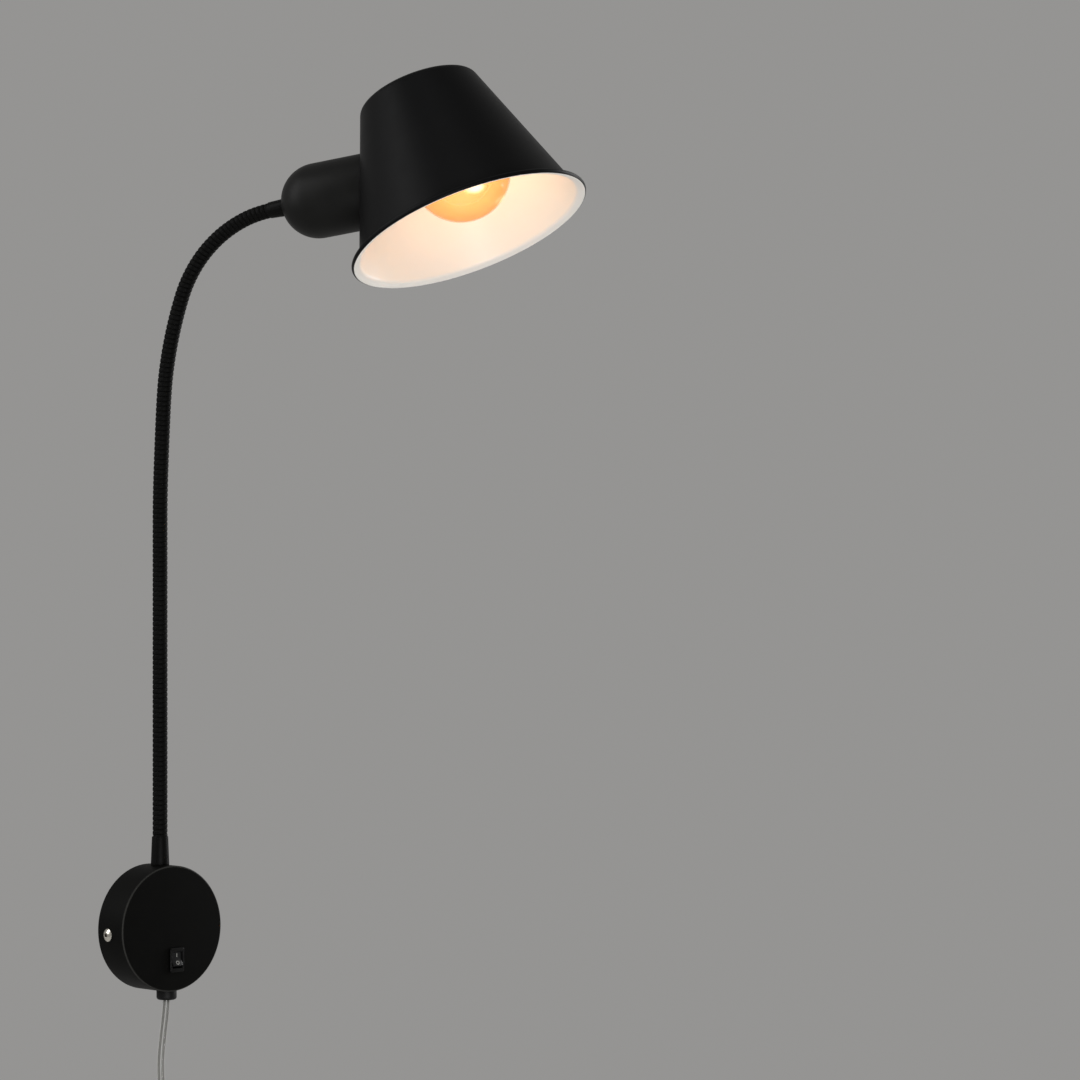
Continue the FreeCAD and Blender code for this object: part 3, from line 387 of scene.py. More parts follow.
def block(name, width, height, depth, bevel=0.0):
    """A block centred on X and Y that rises from Z 0."""
    bpy.ops.object.select_all(action="DESELECT")
    bpy.ops.mesh.primitive_cube_add(size=1)
    piece = bpy.context.object
    piece.name = piece.data.name = name
    bpy.ops.object.mode_set(mode="EDIT")
    bpy.ops.mesh.select_all(action="SELECT")
    bpy.ops.transform.resize(value=(width * MM, height * MM, depth * MM))
    bpy.ops.transform.translate(value=(0, 0, depth * MM / 2))
    if bevel:
        bpy.ops.mesh.bevel(offset=bevel * MM, segments=3, affect="EDGES")
    bpy.ops.object.mode_set(mode="OBJECT")
    return piece


canopy = turned(
    "canopy",
    [
        (CANOPY_RADIUS - CANOPY_SHEET, 0.3),
        (CANOPY_RADIUS - 0.6, 0),
        (CANOPY_RADIUS, 0.4),
        (CANOPY_RADIUS, CANOPY_DEPTH, 1.5),
        (0, CANOPY_DEPTH),
        (0, CANOPY_DEPTH - CANOPY_SHEET),
        (CANOPY_RADIUS - CANOPY_SHEET, CANOPY_DEPTH - CANOPY_SHEET, 0.6),
    ],
    192,
)
collar_hole = drill(5.0, CANOPY_RADIUS - 5, CANOPY_RADIUS + 5)
cut_by(canopy, collar_hole, at(0, 0, CANOPY_DEPTH / 2) @ turn(-90, "X"))
cut_by(canopy, drill(5.6, -5, 5), CORD_HOLE)
cut_by(canopy, drill(2.1, -60, 60), at(0, SCREW_HEIGHT, SCREW_OUT) @ turn(90, "Y"))
cut_by(canopy, block("window", 12.0, 17.2, 6), at(SWITCH_ACROSS, SWITCH_UP, CANOPY_DEPTH - 3))
finished(canopy, WALL, [canopy_coat])
ridden(canopy, "canopy", "canopy_black", "canopy_shell")


# ---------------------------------------------------------------- side screws
# Two domed machine screws with a cross recess go through the canopy's round side into the bracket.
# They are zinc plated steel, turned and then punched.

SCREW_DOME, SCREW_TURN = 7.84, 27
# the recess: its reach from the screw's middle, its lowest face, and the dome that it is sunk below
RECESS_REACH, RECESS_FLOOR, RECESS_TOP, RECESS_FALL = 3.2, 0.4, SCREW_DOME - 5.7, 14


def metal(name, colour, roughness, wear=0.06, grain_mm=1.2, stretch=(1, 1, 1), scratch=0.01):
    """Plated or plain metal with a faint cloudiness and fine marks."""
    finish = Finish(name, colour, roughness, Metallic=1.0)
    cloud = finish.grain(grain_mm * 4)
    marks = finish.grain(grain_mm, 4, stretch)
    dull = tuple(share * 0.8 for share in colour)
    sheen = (cloud - 0.5) * wear + (marks - 0.5) * wear + roughness
    finish.set({"Base Color": finish.mixed(cloud, colour, dull), "Roughness": sheen})
    return finish.bumped(marks, scratch, 0.4).material


bright_zinc = metal("bright_zinc_plate", (0.70, 0.67, 0.60), 0.24)
# a dark colour painted into the cross recess: painted shade, not the zinc's own colour
recess_painted_shade = metal("screw_recess_painted_shade", (0.07, 0.06, 0.05), 0.5)


def pick_faces(piece, wanted):
    """Select the faces whose middle (in mm) and normal pass the test, in edit mode."""
    pick(piece)
    bpy.context.tool_settings.mesh_select_mode = (False, False, True)
    bpy.ops.object.mode_set(mode="EDIT")
    bpy.ops.mesh.select_all(action="DESELECT")
    bpy.ops.object.mode_set(mode="OBJECT")
    for face in piece.data.polygons:
        face.select = wanted(face.center / MM, face.normal)
    bpy.ops.object.mode_set(mode="EDIT")


def copied(piece, name):
    """A second piece of the same shape, with a mesh of its own."""
    twin = piece.copy()
    twin.data = piece.data.copy()
    twin.name = twin.data.name = name
    return placed(twin)


def joined(name, *pieces):
    """One piece of several loose shells."""
    bpy.ops.object.select_all(action="DESELECT")
    for piece in pieces:
        piece.select_set(True)
    bpy.context.view_layer.objects.active = pieces[0]
    bpy.ops.object.join()
    pieces[0].name = pieces[0].data.name = name
    return pieces[0]


side_screw = turned(
    "side_screw_left",
    [(0, -7), (1.9, -7), (2, -6.4), (2, 0), (5, 0), *arc((0, 2.4 - SCREW_DOME), SCREW_DOME, 50.4, 90, 8)],
    48,
)
for angle in (0, 90):
    wing = block("recess_wing", 5.8, 1.5, 3.4)
    pick_faces(wing, lambda middle, normal: normal.z < -0.9)
    bpy.ops.transform.resize(value=(0.28, 0.7, 1))
    bpy.ops.object.mode_set(mode="OBJECT")
    cut_by(side_screw, wing, at(0, 0, 0.7) @ turn(angle, "Z"))
side_screws = [side_screw, copied(side_screw, "side_screw_right")]
for screw, side in zip(side_screws, (-1, 1)):
    place = WALL @ at(side * CANOPY_RADIUS, SCREW_HEIGHT, SCREW_OUT) @ turn(90 * side, "Y")
    place = place @ turn(SCREW_TURN * side, "Z")
    finished(screw, place, [bright_zinc, recess_painted_shade], edge=0.12)
    # the faces inside the cross recess get the painted shade
    own = place.inverted()
    for face in screw.data.polygons:
        spot, way = own @ face.center / MM, own.to_3x3() @ face.normal
        out = math.hypot(spot.x, spot.y)
        sunk = spot.z < RECESS_TOP - out ** 2 / RECESS_FALL
        in_recess = spot.z > RECESS_FLOOR and out < RECESS_REACH and (sunk or way.z < 0.5)
        face.material_index = 1 if in_recess else 0
    ridden(screw, "canopy", "bright_steel", "side_screws")


# ---------------------------------------------------------------- rocker switch
# The switch is a glossy black snap-in housing with a rocking key on a pin. The key is moulded
# with a hollowed top and has a raised white I and O. Its upper end is pressed in.

BEZEL_WIDTH, BEZEL_HEIGHT, BEZEL_PROUD = 13.5, 19.0, 2.0
KEY_WIDTH, KEY_HALF, KEY_CROWN, KEY_TILT, KEY_PIVOT = 9.4, 5.4, 3.6, 12.0, -2.5


def moulded(name, colour, roughness, grain_mm=0.6, depth=0.02, **plain):
    """Moulded plastic with the fine spark texture of its tool."""
    finish = Finish(name, colour, roughness, **plain)
    cloud = finish.grain(9)
    spark = finish.grain(grain_mm, 2)
    pale = tuple(min(1, share * 1.18 + 0.001) for share in colour)
    sheen = (cloud - 0.5) * 0.1 + (spark - 0.5) * 0.08 + roughness
    finish.set({"Base Color": finish.mixed(cloud, colour, pale), "Roughness": sheen})
    return finish.bumped(spark, depth, 0.5).material


switch_plastic = moulded("switch_plastic", (0.0028, 0.0028, 0.0028), 0.4, Specular_IOR_Level=0.12)
key_plastic = moulded("key_plastic", (0.0065, 0.0065, 0.0070), 0.3, Specular_IOR_Level=0.28)
mark_white = moulded("mark_white", (0.32, 0.32, 0.30), 0.45)


def slab(name, outline, thickness):
    """A plate with that outline of (x, y) corners in mm, from Z 0 up to its thickness."""
    piece = seed(name)
    line = [Vector((*point, 0)) for point in soft_corners(outline)]
    draw([*line, line[0]])
    bpy.ops.mesh.select_all(action="SELECT")
    bpy.ops.mesh.remove_doubles(threshold=MERGE)
    bpy.ops.mesh.edge_face_add()
    bpy.ops.mesh.extrude_region_move(TRANSFORM_OT_translate={"value": (0, 0, thickness * MM)})
    face_outwards()
    return piece


def oblong(width, height, corner):
    """The corners of a rectangle about the origin, each rounded."""
    x, y = width / 2, height / 2
    return [(x, y, corner), (-x, y, corner), (-x, -y, corner), (x, -y, corner)]


bezel = slab("switch_bezel", oblong(BEZEL_WIDTH, BEZEL_HEIGHT, 1.4), BEZEL_PROUD)
barrel = slab("switch_barrel", oblong(11.8, 17, 0.5), 13.2)
use_modifier(bezel, "BEVEL", width=0.6 * MM, segments=3, limit_method="ANGLE", angle_limit=1.0)
barrel.matrix_world = at(0, 0, -13)
use_modifier(bezel, "BOOLEAN", operation="UNION", solver="EXACT", object=barrel)
bpy.data.objects.remove(barrel)
cut_by(bezel, slab("key_window", oblong(9.8, 12.8, 0.5), 14.0), at(0, 0, -11.5))
finished(bezel, SWITCH_PLACE, [switch_plastic], edge=0.15)
ridden(bezel, "canopy", "black_plastic", "switch_housing")

# own frame of the key: X across, Y up, Z out, about its pin
LYING_TO_STANDING = Matrix.Rotation(math.radians(120), 4, Vector((1, 1, 1)))
KEY_PLACE = SWITCH_PLACE @ at(0, 0, KEY_PIVOT) @ turn(-KEY_TILT, "X")
key_rise = KEY_CROWN + KEY_HALF * math.sin(math.radians(KEY_TILT))
key = slab(
    "switch_key",
    [
        (0, KEY_CROWN, 9),
        (-KEY_HALF, key_rise, 0.5),
        (-KEY_HALF - 0.5, 1.5),
        (-KEY_HALF - 0.5, -0.5),
        (-KEY_HALF / 2, -2),
        (KEY_HALF / 2, -2),
        (KEY_HALF + 0.5, -0.5),
        (KEY_HALF + 0.5, 1.5),
        (KEY_HALF, key_rise, 0.5),
    ],
    KEY_WIDTH,
)
finished(key, KEY_PLACE @ LYING_TO_STANDING @ at(0, 0, -KEY_WIDTH / 2), [key_plastic], edge=0.3, smooth=25)
ridden(key, "rocker", "black_plastic", "switch_rocker")

mark_on = slab("key_mark_on", oblong(0.55, 2.9, 0.25), 0.14)
mark_off = turned("key_mark_off", [(1.05, 0), (1.55, 0), (1.55, 0.14), (1.05, 0.14)], 48)
MARK_UP = 3.0
mark_rise = KEY_CROWN + MARK_UP * math.sin(math.radians(KEY_TILT)) - 0.02
for mark, side in ((mark_on, 1), (mark_off, -1)):
    face = at(0, MARK_UP * side, mark_rise)
    finished(mark, KEY_PLACE @ face @ turn(KEY_TILT * side, "X"), [mark_white])
    ridden(mark, "rocker", "white_plastic")


# ---------------------------------------------------------------- cord gland
# The cord leaves the canopy's underside through a short black bush, shaped to the round side and
# screwed to a hexagon nut inside. It is moulded nylon with a rounded lip at its mouth.

gland_nylon = moulded("gland_nylon", (0.0045, 0.0045, 0.0045), 0.5, grain_mm=0.5, Specular_IOR_Level=0.15)


def canopy_drum():
    """A solid drum of the canopy's radius, to cut what is shaped to its round side."""
    return turned("canopy_drum", [(0, -40), (CANOPY_RADIUS, -40), (CANOPY_RADIUS, 40), (0, 40)], 192)


gland = turned(
    "cord_bush",
    [(3.4, -2), (7.9, -2), (7.9, 7.5, 2.2), (4.6, 7.5, 1.0), (3.4, 5.6)],
    72,
)
cut_by(gland, canopy_drum(), at(-CORD_ACROSS, 0, -CANOPY_RADIUS) @ turn(90, "X"))
finished(gland, GLAND_PLACE, [gland_nylon], edge=0.2)
ridden(gland, "canopy", "black_plastic", "cord_gland")


# ---------------------------------------------------------------- cord
# The flat cord has two cores of fine tinned wire side by side in clear soft vinyl. It hangs from
# the bush, is wound up and tied for storage, and ends in a flat two-pin plug moulded round it.

CORD_WIDTH, CORD_THICKNESS, CORE_RADIUS, CORE_APART = 6.0, 3.8, 0.95, 2.9
CORD_ROUTE = [
    (4.5, -18.0, -56.0),
    (3.6, -18.0, -67.0),
    (0.9, -17.8, -85.0),
    (-1.3, -17.6, -104.0),
    (-0.6, -17.6, -123.0),
    (0.3, -17.8, -143.0),
    (0.2, -18.0, -160.0),
]
PLUG_ROUTE = [(-2.5, -23.0, -177.0), (-8.0, -20.5, -187.0), (-10.5, -20.0, -196.0)]
COIL_CENTRE = (39.0, -18.0, -167.0)
# the radius and the row of each turn, from the first to the last
COIL_TURNS = [(39, 0), (39, 6), (33, 6), (27, 6), (27, 0), (33, 0), (33, -6), (39, -6)]
POINTS_A_TURN = 16


def coil_points():
    """The turns, each shifting to the next one's radius and row in its last half."""
    points = []
    for (radius, row), (next_radius, next_row) in zip(COIL_TURNS, [*COIL_TURNS[1:], COIL_TURNS[-1]]):
        for step in range(POINTS_A_TURN):
            share = step / POINTS_A_TURN
            shift = min(max((share - 0.55) / 0.4, 0), 1)
            here = radius + (next_radius - radius) * shift
            angle = math.pi + FULL_TURN * share
            points.append(
                (
                    COIL_CENTRE[0] + here * math.cos(angle),
                    COIL_CENTRE[1] + row + (next_row - row) * shift,
                    COIL_CENTRE[2] + here * math.sin(angle),
                )
            )
    last_radius, last_row = COIL_TURNS[-1]
    return [*points, (COIL_CENTRE[0] - last_radius, COIL_CENTRE[1] + last_row, COIL_CENTRE[2])]


def smooth_curve(name, points, resolution):
    """A smooth curve drawn by those control points."""
    line = bpy.data.curves.new(name, "CURVE")
    line.dimensions = "3D"
    spline = line.splines.new("NURBS")
    spline.points.add(len(points) - 1)
    for control, point in zip(spline.points, points):
        control.co = (*point, 1)
    spline.order_u = 3
    spline.use_endpoint_u = True
    spline.resolution_u = resolution
    return placed(bpy.data.objects.new(name, line))


def points_on(curve):
    """The points that a curve is drawn through."""
    mesh = bpy.data.meshes.new_from_object(curve)
    points = [vertex.co.copy() for vertex in mesh.vertices]
    bpy.data.meshes.remove(mesh)
    return points


cord_route = [Vector(point) * MM for point in CORD_ROUTE + coil_points() + PLUG_ROUTE]
cord_line = smooth_curve("cord_line", cord_route, 6)
cord_path = points_on(cord_line)
# the flat side turns from the wide side of the plug and the coil to the front of the hanging part
FLAT_TURN = math.radians(-45)
# the control point where it has turned fully, and over how many before that it turns
TURN_END, TURN_OVER = 12, 6
for number, control in enumerate(cord_line.data.splines[0].points):
    control.tilt = FLAT_TURN * min(max((TURN_END - number) / TURN_OVER, 0), 1)


def along_cord(name, outline, finish, slot):
    """A skin of that outline of (x, y) corners in mm across the cord, over its whole length."""
    section = bpy.data.curves.new("section", "CURVE")
    corners = soft_corners(outline)
    loop = section.splines.new("POLY")
    loop.points.add(len(corners) - 1)
    for control, corner in zip(loop.points, corners):
        control.co = (*(corner * MM), 0, 1)
    loop.use_cyclic_u = True
    ring = placed(bpy.data.objects.new("section", section))
    piece = copied(cord_line, name)
    piece.data.bevel_mode = "OBJECT"
    piece.data.bevel_object = ring
    piece.data.use_fill_caps = True
    pick(piece)
    bpy.ops.object.convert(target="MESH")
    piece.data.name = name
    bpy.data.objects.remove(ring)
    finished(piece, Matrix(), [finish], smooth=60)
    bpy.ops.object.mode_set(mode="EDIT")
    bpy.ops.mesh.select_all(action="SELECT")
    bpy.ops.mesh.remove_doubles(threshold=MERGE)
    face_outwards()
    return ridden(piece, "canopy", slot)


clear_vinyl = moulded("clear_vinyl", (0.60, 0.60, 0.57), 0.24, Alpha=0.26, Coat_Weight=0.4)
# the tinned cores are painted near black instead of tin's silver: painted shade inside the clear vinyl
tinned_wire_painted_shade = metal("tinned_wire_painted_shade", (0.040, 0.038, 0.033), 0.42, grain_mm=0.5, stretch=(1, 1, 3))
flat_oval = oblong(CORD_WIDTH, CORD_THICKNESS, CORD_THICKNESS / 2 - 0.01)
sheath = along_cord("cord_sheath", flat_oval, clear_vinyl, "clear_cord")
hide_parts("cord_tube", "cord_end", "cord_coil")
for number, side in enumerate((-0.5, 0.5)):
    shift = Vector((CORE_APART * side, 0))
    round_core = [Vector(point) + shift for point in arc((0, 0), CORE_RADIUS, 0, 324, 9)]
    along_cord(f"cord_core_{number + 1}", round_core, tinned_wire_painted_shade, "nickel")

# own frame of the plug: Z along its pins, X across its width
plug_way = (Vector(PLUG_ROUTE[-1]) - Vector(PLUG_ROUTE[-2])).normalized()
plug_side = Vector((0, 1, 0)) - plug_way * plug_way.y
plug_side.normalize()
plug_axes = Matrix((plug_side, plug_way.cross(plug_side), plug_way)).transposed()
PLUG_PLACE = at(*PLUG_ROUTE[-1]) @ plug_axes.to_4x4()
PLUG_THICKNESS = 13.7
plug = slab(
    "plug_moulding",
    [
        (-4.5, 0, 1.2),
        (4.5, 0, 1.2),
        (5.2, 11, 8),
        (17.5, 22, 7),
        (17.5, 33, 1.5),
        (-17.5, 33, 1.5),
        (-17.5, 22, 7),
        (-5.2, 11, 8),
    ],
    PLUG_THICKNESS,
)
use_modifier(plug, "BEVEL", width=1.1 * MM, segments=4, limit_method="ANGLE", angle_limit=0.8)
for level in (3, 6, 9):
    for side in (-1, 1):
        cut_by(plug, block("grip_groove", 12, 1.4, 2), at(0, level, PLUG_THICKNESS / 2 * (1 + side) - 1))
plug_vinyl = moulded("plug_vinyl", (0.44, 0.44, 0.42), 0.3, Alpha=0.86, Coat_Weight=0.3)
finished(plug, PLUG_PLACE @ turn(90, "X") @ at(0, 0, -PLUG_THICKNESS / 2), [plug_vinyl], edge=0.2)
ridden(plug, "canopy", "clear_cord", "plug_body")

COIL_MIDDLE, TIE_ANGLE, TIE_LENGTH = 33, 60, 9
on_coil = at(*COIL_CENTRE) @ turn(90, "X") @ turn(TIE_ANGLE, "Z") @ at(COIL_MIDDLE)
tie_place = on_coil @ turn(90, "X") @ at(0, 0, -TIE_LENGTH / 2)
tie_strap = moulded("tie_strap", (0.02, 0.02, 0.021), 0.55, grain_mm=0.9, depth=0.08)
tie = slab("cord_tie_strap", oblong(21.6, 21.6, 5), TIE_LENGTH)
cut_by(tie, slab("tie_window", oblong(19.2, 19.2, 4.2), TIE_LENGTH + 2), at(0, 0, -1))
buckle = block("tie_buckle", 3.2, 7, 9.6, 0.5)
buckle.matrix_world = at(11.0, 2, -0.3)
tie = joined("cord_tie_strap", tie, buckle)
settle()
finished(tie, tie_place, [tie_strap], edge=0.3)
ridden(tie, "canopy", "black_plastic", "cord_tie")


def worn(finish, *nodes):
    """Carried pieces of the lamp get that finish."""
    for name in nodes:
        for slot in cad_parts[name].material_slots:
            slot.material = finish


worn(metal("pin_nickel", (0.66, 0.64, 0.60), 0.24), "plug_pins")
bpy.data.objects.remove(cord_line)


# ---------------------------------------------------------------- inside the canopy
# A slotted strap of zinc plated steel goes on the wall. A white terminal block joins the cord, the
# switch's brass tabs and the two leads that go up the neck. They show from the open back.

zinc_plate = metal("zinc_plate", (0.55, 0.57, 0.60), 0.34, wear=0.12)
contact_brass = metal("contact_brass", (0.70, 0.50, 0.22), 0.32)
worn(zinc_plate, "wall_bracket", "base_nut", "base_washer")
worn(bright_zinc, "terminal_screws")
worn(contact_brass, "switch_contacts")
worn(moulded("block_nylon", (0.70, 0.70, 0.66), 0.42), "terminal_block")
worn(moulded("lead_silicone", (0.52, 0.50, 0.46), 0.5), "internal_leads")
worn(gland_nylon, "gland_nut")


# ---------------------------------------------------------------- lower collar
# A tapered steel collar stands on top of the canopy. Its foot is cut to the round side, a threaded
# stub holds it with a nut inside, and the neck sits fourteen millimetres deep in its mouth.

satin_black = powder_coat(
    "collar_satin_black", (0.0024, 0.0024, 0.0022), (0.0034, 0.0034, 0.0032), 0.45, 0.06
)

base_collar = turned(
    "lower_collar",
    [
        (3.2, 47),
        (7.2, 47),
        (7.2, 50),
        (6.8, 59.5),
        (6.35, 71, 0.25),
        (5.9, 71, 0.15),
        (5.9, 57.02),
        (3.2, 57.02),
    ],
)
cut_by(base_collar, canopy_drum(), turn(90, "X"))
finished(base_collar, COLLAR_PLACE, [satin_black], edge=0.1)
ridden(base_collar, "canopy", "collar_black", "base_collar")


# ---------------------------------------------------------------- gooseneck
# The neck is a flexible tube wound from steel wire, painted black, so that its skin is one fine
# screw of ridges. It is stiff enough to stay where it is bent. A two-core cable runs inside.

NECK_PITCH, NECK_CREST, NECK_VALLEY, NECK_BORE = 3.8, 5.85, 5.2, 3.7
NECK_START, NECK_END = 57.05, 15.2
PLANE_TURN = -66.0
CABLE_RADIUS = 2.1
LEGS = [90.0] + [22.0] * 7 + [41.3] * 3 + [21.55] * 8
BENDS = [0.0] * 8 + [2.2, 0.6] + [4.05] * 4 + [12.53] * 5
# the balls that move, counted from the lowest
MOVING = [0, 4, 7, 9, 10, 12, 14, 16, 18]
NECK_LENGTHS = 20
NECK_BODIES = ["neck_foot_part", *(f"neck_part_{number}" for number in range(1, 9)), "head"]


def neck_hinges():
    """The place of each ball of the neck, from the lowest, turned the way the neck goes on."""
    reach, height, heading = 0.0, CANOPY_RADIUS + 2, 0.0
    places = []
    for leg, bend in zip(LEGS, BENDS):
        reach += leg * math.sin(math.radians(heading))
        height += leg * math.cos(math.radians(heading))
        heading += bend
        foot = at(0, -CANOPY_DEPTH / 2, height) @ turn(PLANE_TURN, "Z")
        places.append(foot @ at(reach) @ turn(heading, "Y"))
    return places


HINGES = neck_hinges()
neck_route = [
    at(0, -CANOPY_DEPTH / 2, NECK_START).translation,
    *(hinge.translation for hinge in HINGES),
    (HINGES[-1] @ at(0, 0, NECK_END)).translation,
]
neck_line = smooth_curve("neck_line", neck_route, 24)
line_points = points_on(neck_line)
run = [0.0]
for before, here in zip(line_points, line_points[1:]):
    run.append(run[-1] + (here - before).length)


def run_at(point):
    """How far along the neck's line a point lies, in metres."""
    nearest = min(range(len(run)), key=lambda index: (line_points[index] - point).length)
    return run[nearest]


NECK_STEPS = 32
# where the saw passes between two rows of the skin's corners, as a share of their distance
SAW_SHARE = 0.22


def sawn_at(length):
    """That length, moved to where the saw passes between two rows of the skin's corners."""
    row = NECK_PITCH * MM / NECK_STEPS
    return (math.floor(length / row) + SAW_SHARE) * row


hinge_runs = [run_at(HINGES[index].translation) for index in MOVING]
cuts = [sawn_at((low + high) / 2) for low, high in zip(hinge_runs, hinge_runs[1:])]
starts, ends = [sawn_at(0), *cuts], [*cuts, sawn_at(run[-1])]
# where the neck is straight at rest, a reach of this much of its length on either side of a ball
BEND_REACH = 16.0 * MM
blend_halves = [
    min(BEND_REACH if BENDS[ball] < 1 else math.inf, hinge - low, high - hinge)
    for ball, hinge, low, high in zip(MOVING, hinge_runs, starts, ends)
]
# near the last ball the reach stays short of the upper collar, which starts just after that ball
LAST_REACH = 8.3 * MM
blend_halves[-1] = min(blend_halves[-1], LAST_REACH)


def wound_tube(name, wall, steps):
    """A tube along Z, from one pitch of its wall wound up like a screw, longer than the neck."""
    piece = seed(name)
    draw([Vector((radius, 0, height)) for radius, height in wall])
    bpy.ops.object.mode_set(mode="OBJECT")
    pitch = NECK_PITCH * MM
    turns = math.ceil(run[-1] / pitch) + 3
    use_modifier(
        piece, "SCREW", angle=FULL_TURN, screw_offset=pitch, iterations=turns,
        steps=steps, render_steps=steps, axis="Z", use_merge_vertices=False,
    )
    bpy.ops.object.mode_set(mode="EDIT")
    bpy.ops.mesh.select_all(action="SELECT")
    bpy.ops.transform.translate(value=(0, 0, -2 * pitch))
    bpy.ops.mesh.remove_doubles(threshold=0.01 * MM)
    bpy.ops.object.mode_set(mode="OBJECT")
    return piece


def cut_to_length(piece, start, end):
    """Saw a tube off square at both ends."""
    pick(piece)
    bpy.context.tool_settings.mesh_select_mode = (True, False, False)
    bpy.ops.object.mode_set(mode="EDIT")
    for height, above in ((start, False), (end, True)):
        bpy.ops.mesh.select_all(action="SELECT")
        bpy.ops.mesh.bisect(
            plane_co=(0, 0, height), plane_no=(0, 0, 1), threshold=1e-7,
            clear_outer=above, clear_inner=not above,
        )
    bpy.ops.object.mode_set(mode="OBJECT")


def close_ends(piece, start, end, close):
    """Close a sawn tube's two ends, and turn its faces outwards."""
    bpy.context.tool_settings.mesh_select_mode = (False, True, False)
    for height in (start, end):
        bpy.ops.object.mode_set(mode="EDIT")
        bpy.ops.mesh.select_all(action="DESELECT")
        bpy.ops.object.mode_set(mode="OBJECT")
        corners = piece.data.vertices
        for edge in piece.data.edges:
            edge.select = all(abs(corners[index].co.z - height) < 1e-6 for index in edge.vertices)
        bpy.ops.object.mode_set(mode="EDIT")
        close()
        bpy.ops.object.mode_set(mode="OBJECT")
    bpy.ops.object.mode_set(mode="EDIT")
    face_outwards()


crest_share = (0.0, 0.05, 0.14, 0.28, 0.5, 0.72, 0.86, 0.95, 1.0)
ridge_rise = (0.0, 0.42, 0.75, 0.95, 1.0, 0.95, 0.75, 0.42, 0.0)
ridge = [
    (NECK_VALLEY + (NECK_CREST - NECK_VALLEY) * rise, NECK_PITCH * share)
    for share, rise in zip(crest_share, ridge_rise)
]
neck_black = powder_coat("neck_satin_black", (0.0026, 0.0026, 0.0024), (0.0036, 0.0036, 0.0034), 0.55, 0.05)
cable_jacket = moulded("cable_jacket", (0.02, 0.02, 0.021), 0.5)


def laid_on_neck(piece, name, index, finish):
    """Bend a straight piece of tube along the neck."""
    use_modifier(piece, "CURVE", object=neck_line, deform_axis="POS_Z")
    finished(piece, Matrix(), [finish], smooth=60)
    piece.name = piece.data.name = name
    hinge, half = hinge_runs[index], blend_halves[index]
    low, high = (
        min(zip(run, line_points), key=lambda pair: abs(pair[0] - place))[1]
        for place in (hinge - half, hinge + half)
    )
    NECK_BODIES[index + 1]
    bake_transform(piece)


def plain_wall(radius):
    """One pitch of a smooth wall."""
    return [(radius, 0), (radius, NECK_PITCH)]


skin_master = wound_tube("gooseneck_skin", ridge, NECK_STEPS)
bore_master = wound_tube("gooseneck_bore", plain_wall(NECK_BORE), NECK_STEPS)
cable_master = wound_tube("cable_master", plain_wall(CABLE_RADIUS), NECK_STEPS // 2)
last_node = 0
for index, (start, end) in enumerate(zip(starts, ends)):
    skin, bore = copied(skin_master, "skin"), copied(bore_master, "bore")
    for tube in (skin, bore):
        cut_to_length(tube, start, end)
    skin = joined("skin", skin, bore)
    close_ends(skin, start, end, bpy.ops.mesh.bridge_edge_loops)
    laid_on_neck(skin, f"gooseneck_{index + 1}", index, neck_black)
    # the last of the neck's short lengths that this piece of skin stands for
    below = sum(run_at(hinge.translation) < end for hinge in HINGES)
    last = NECK_LENGTHS if end == ends[-1] else below
    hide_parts(*(f"neck_{number:02d}" for number in range(last_node + 1, last + 1)))
    last_node = last

    cable = copied(cable_master, "cable")
    cut_to_length(cable, start, end)
    close_ends(cable, start, end, bpy.ops.mesh.edge_face_add)
    laid_on_neck(cable, f"neck_cable_{index + 1}", index, cable_jacket)
    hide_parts("neck_cable")
for spare in (skin_master, bore_master, cable_master, neck_line):
    bpy.data.objects.remove(spare)


# ---------------------------------------------------------------- upper collar
# A second, shorter steel collar grips the neck's upper end. Its other end is cut to the cup's dome,
# and a threaded stub holds it there with a nut inside the cup.

CUP_RADIUS, CUP_SHEET = 29.0, 1.0
SHADE_ROLL = -6.155
# own frame of the head: Z runs from the neck through the cup to the bulb, and X is the shade's top
HEAD_PLACE = HINGES[-1] @ at(0, 0, 21.5 + CUP_RADIUS) @ turn(SHADE_ROLL, "Z")

head_collar = turned(
    "upper_collar",
    [(5.9, -42), (6.2, -42, 0.15), (6.3, -41.5), (6.95, -27), (3.2, -27), (3.2, -35.3), (5.9, -35.3)],
)
cut_by(head_collar, turned("dome_ball", arc((0, 0), CUP_RADIUS, -90, 90, 64)), Matrix())
finished(head_collar, HEAD_PLACE, [satin_black], edge=0.1)
ridden(head_collar, "head", "collar_black", "head_collar")


# ---------------------------------------------------------------- cup
# The cup that hides the lampholder's wiring is spun from 1 mm steel with a round bottom. Its open
# end is cut to the slope of the shade's side and pulled against it. It is powder coated.

SHADE_RIM, SHADE_TOP, SHADE_HEIGHT, SHADE_SHEET = 92.0, 45.9, 120.0, 1.0
FLARE_RADIUS, FLARE_HEIGHT, BEAD = 86.9, 4.7, 1.9
CUP_TO_AXIS, AXIS_TO_RIM, SHADE_TILT = 109.8, 48.75, 16.03
# own frame of the shade: Z runs up its axis from the rim, and X points to the cup
SHADE_IN_HEAD = at(0, 0, CUP_TO_AXIS) @ turn(-90 - SHADE_TILT, "Y") @ turn(180, "Z")
SHADE_IN_HEAD = SHADE_IN_HEAD @ at(0, 0, -AXIS_TO_RIM)
SHADE_PLACE = HEAD_PLACE @ SHADE_IN_HEAD

cup = turned(
    "wiring_cup",
    [
        *arc((0, 0), CUP_RADIUS, -80.17, 0, 26),
        (CUP_RADIUS, 60),
        (CUP_RADIUS - CUP_SHEET, 60),
        *arc((0, 0), CUP_RADIUS - CUP_SHEET, 0, -79.8, 26),
    ],
    128,
)


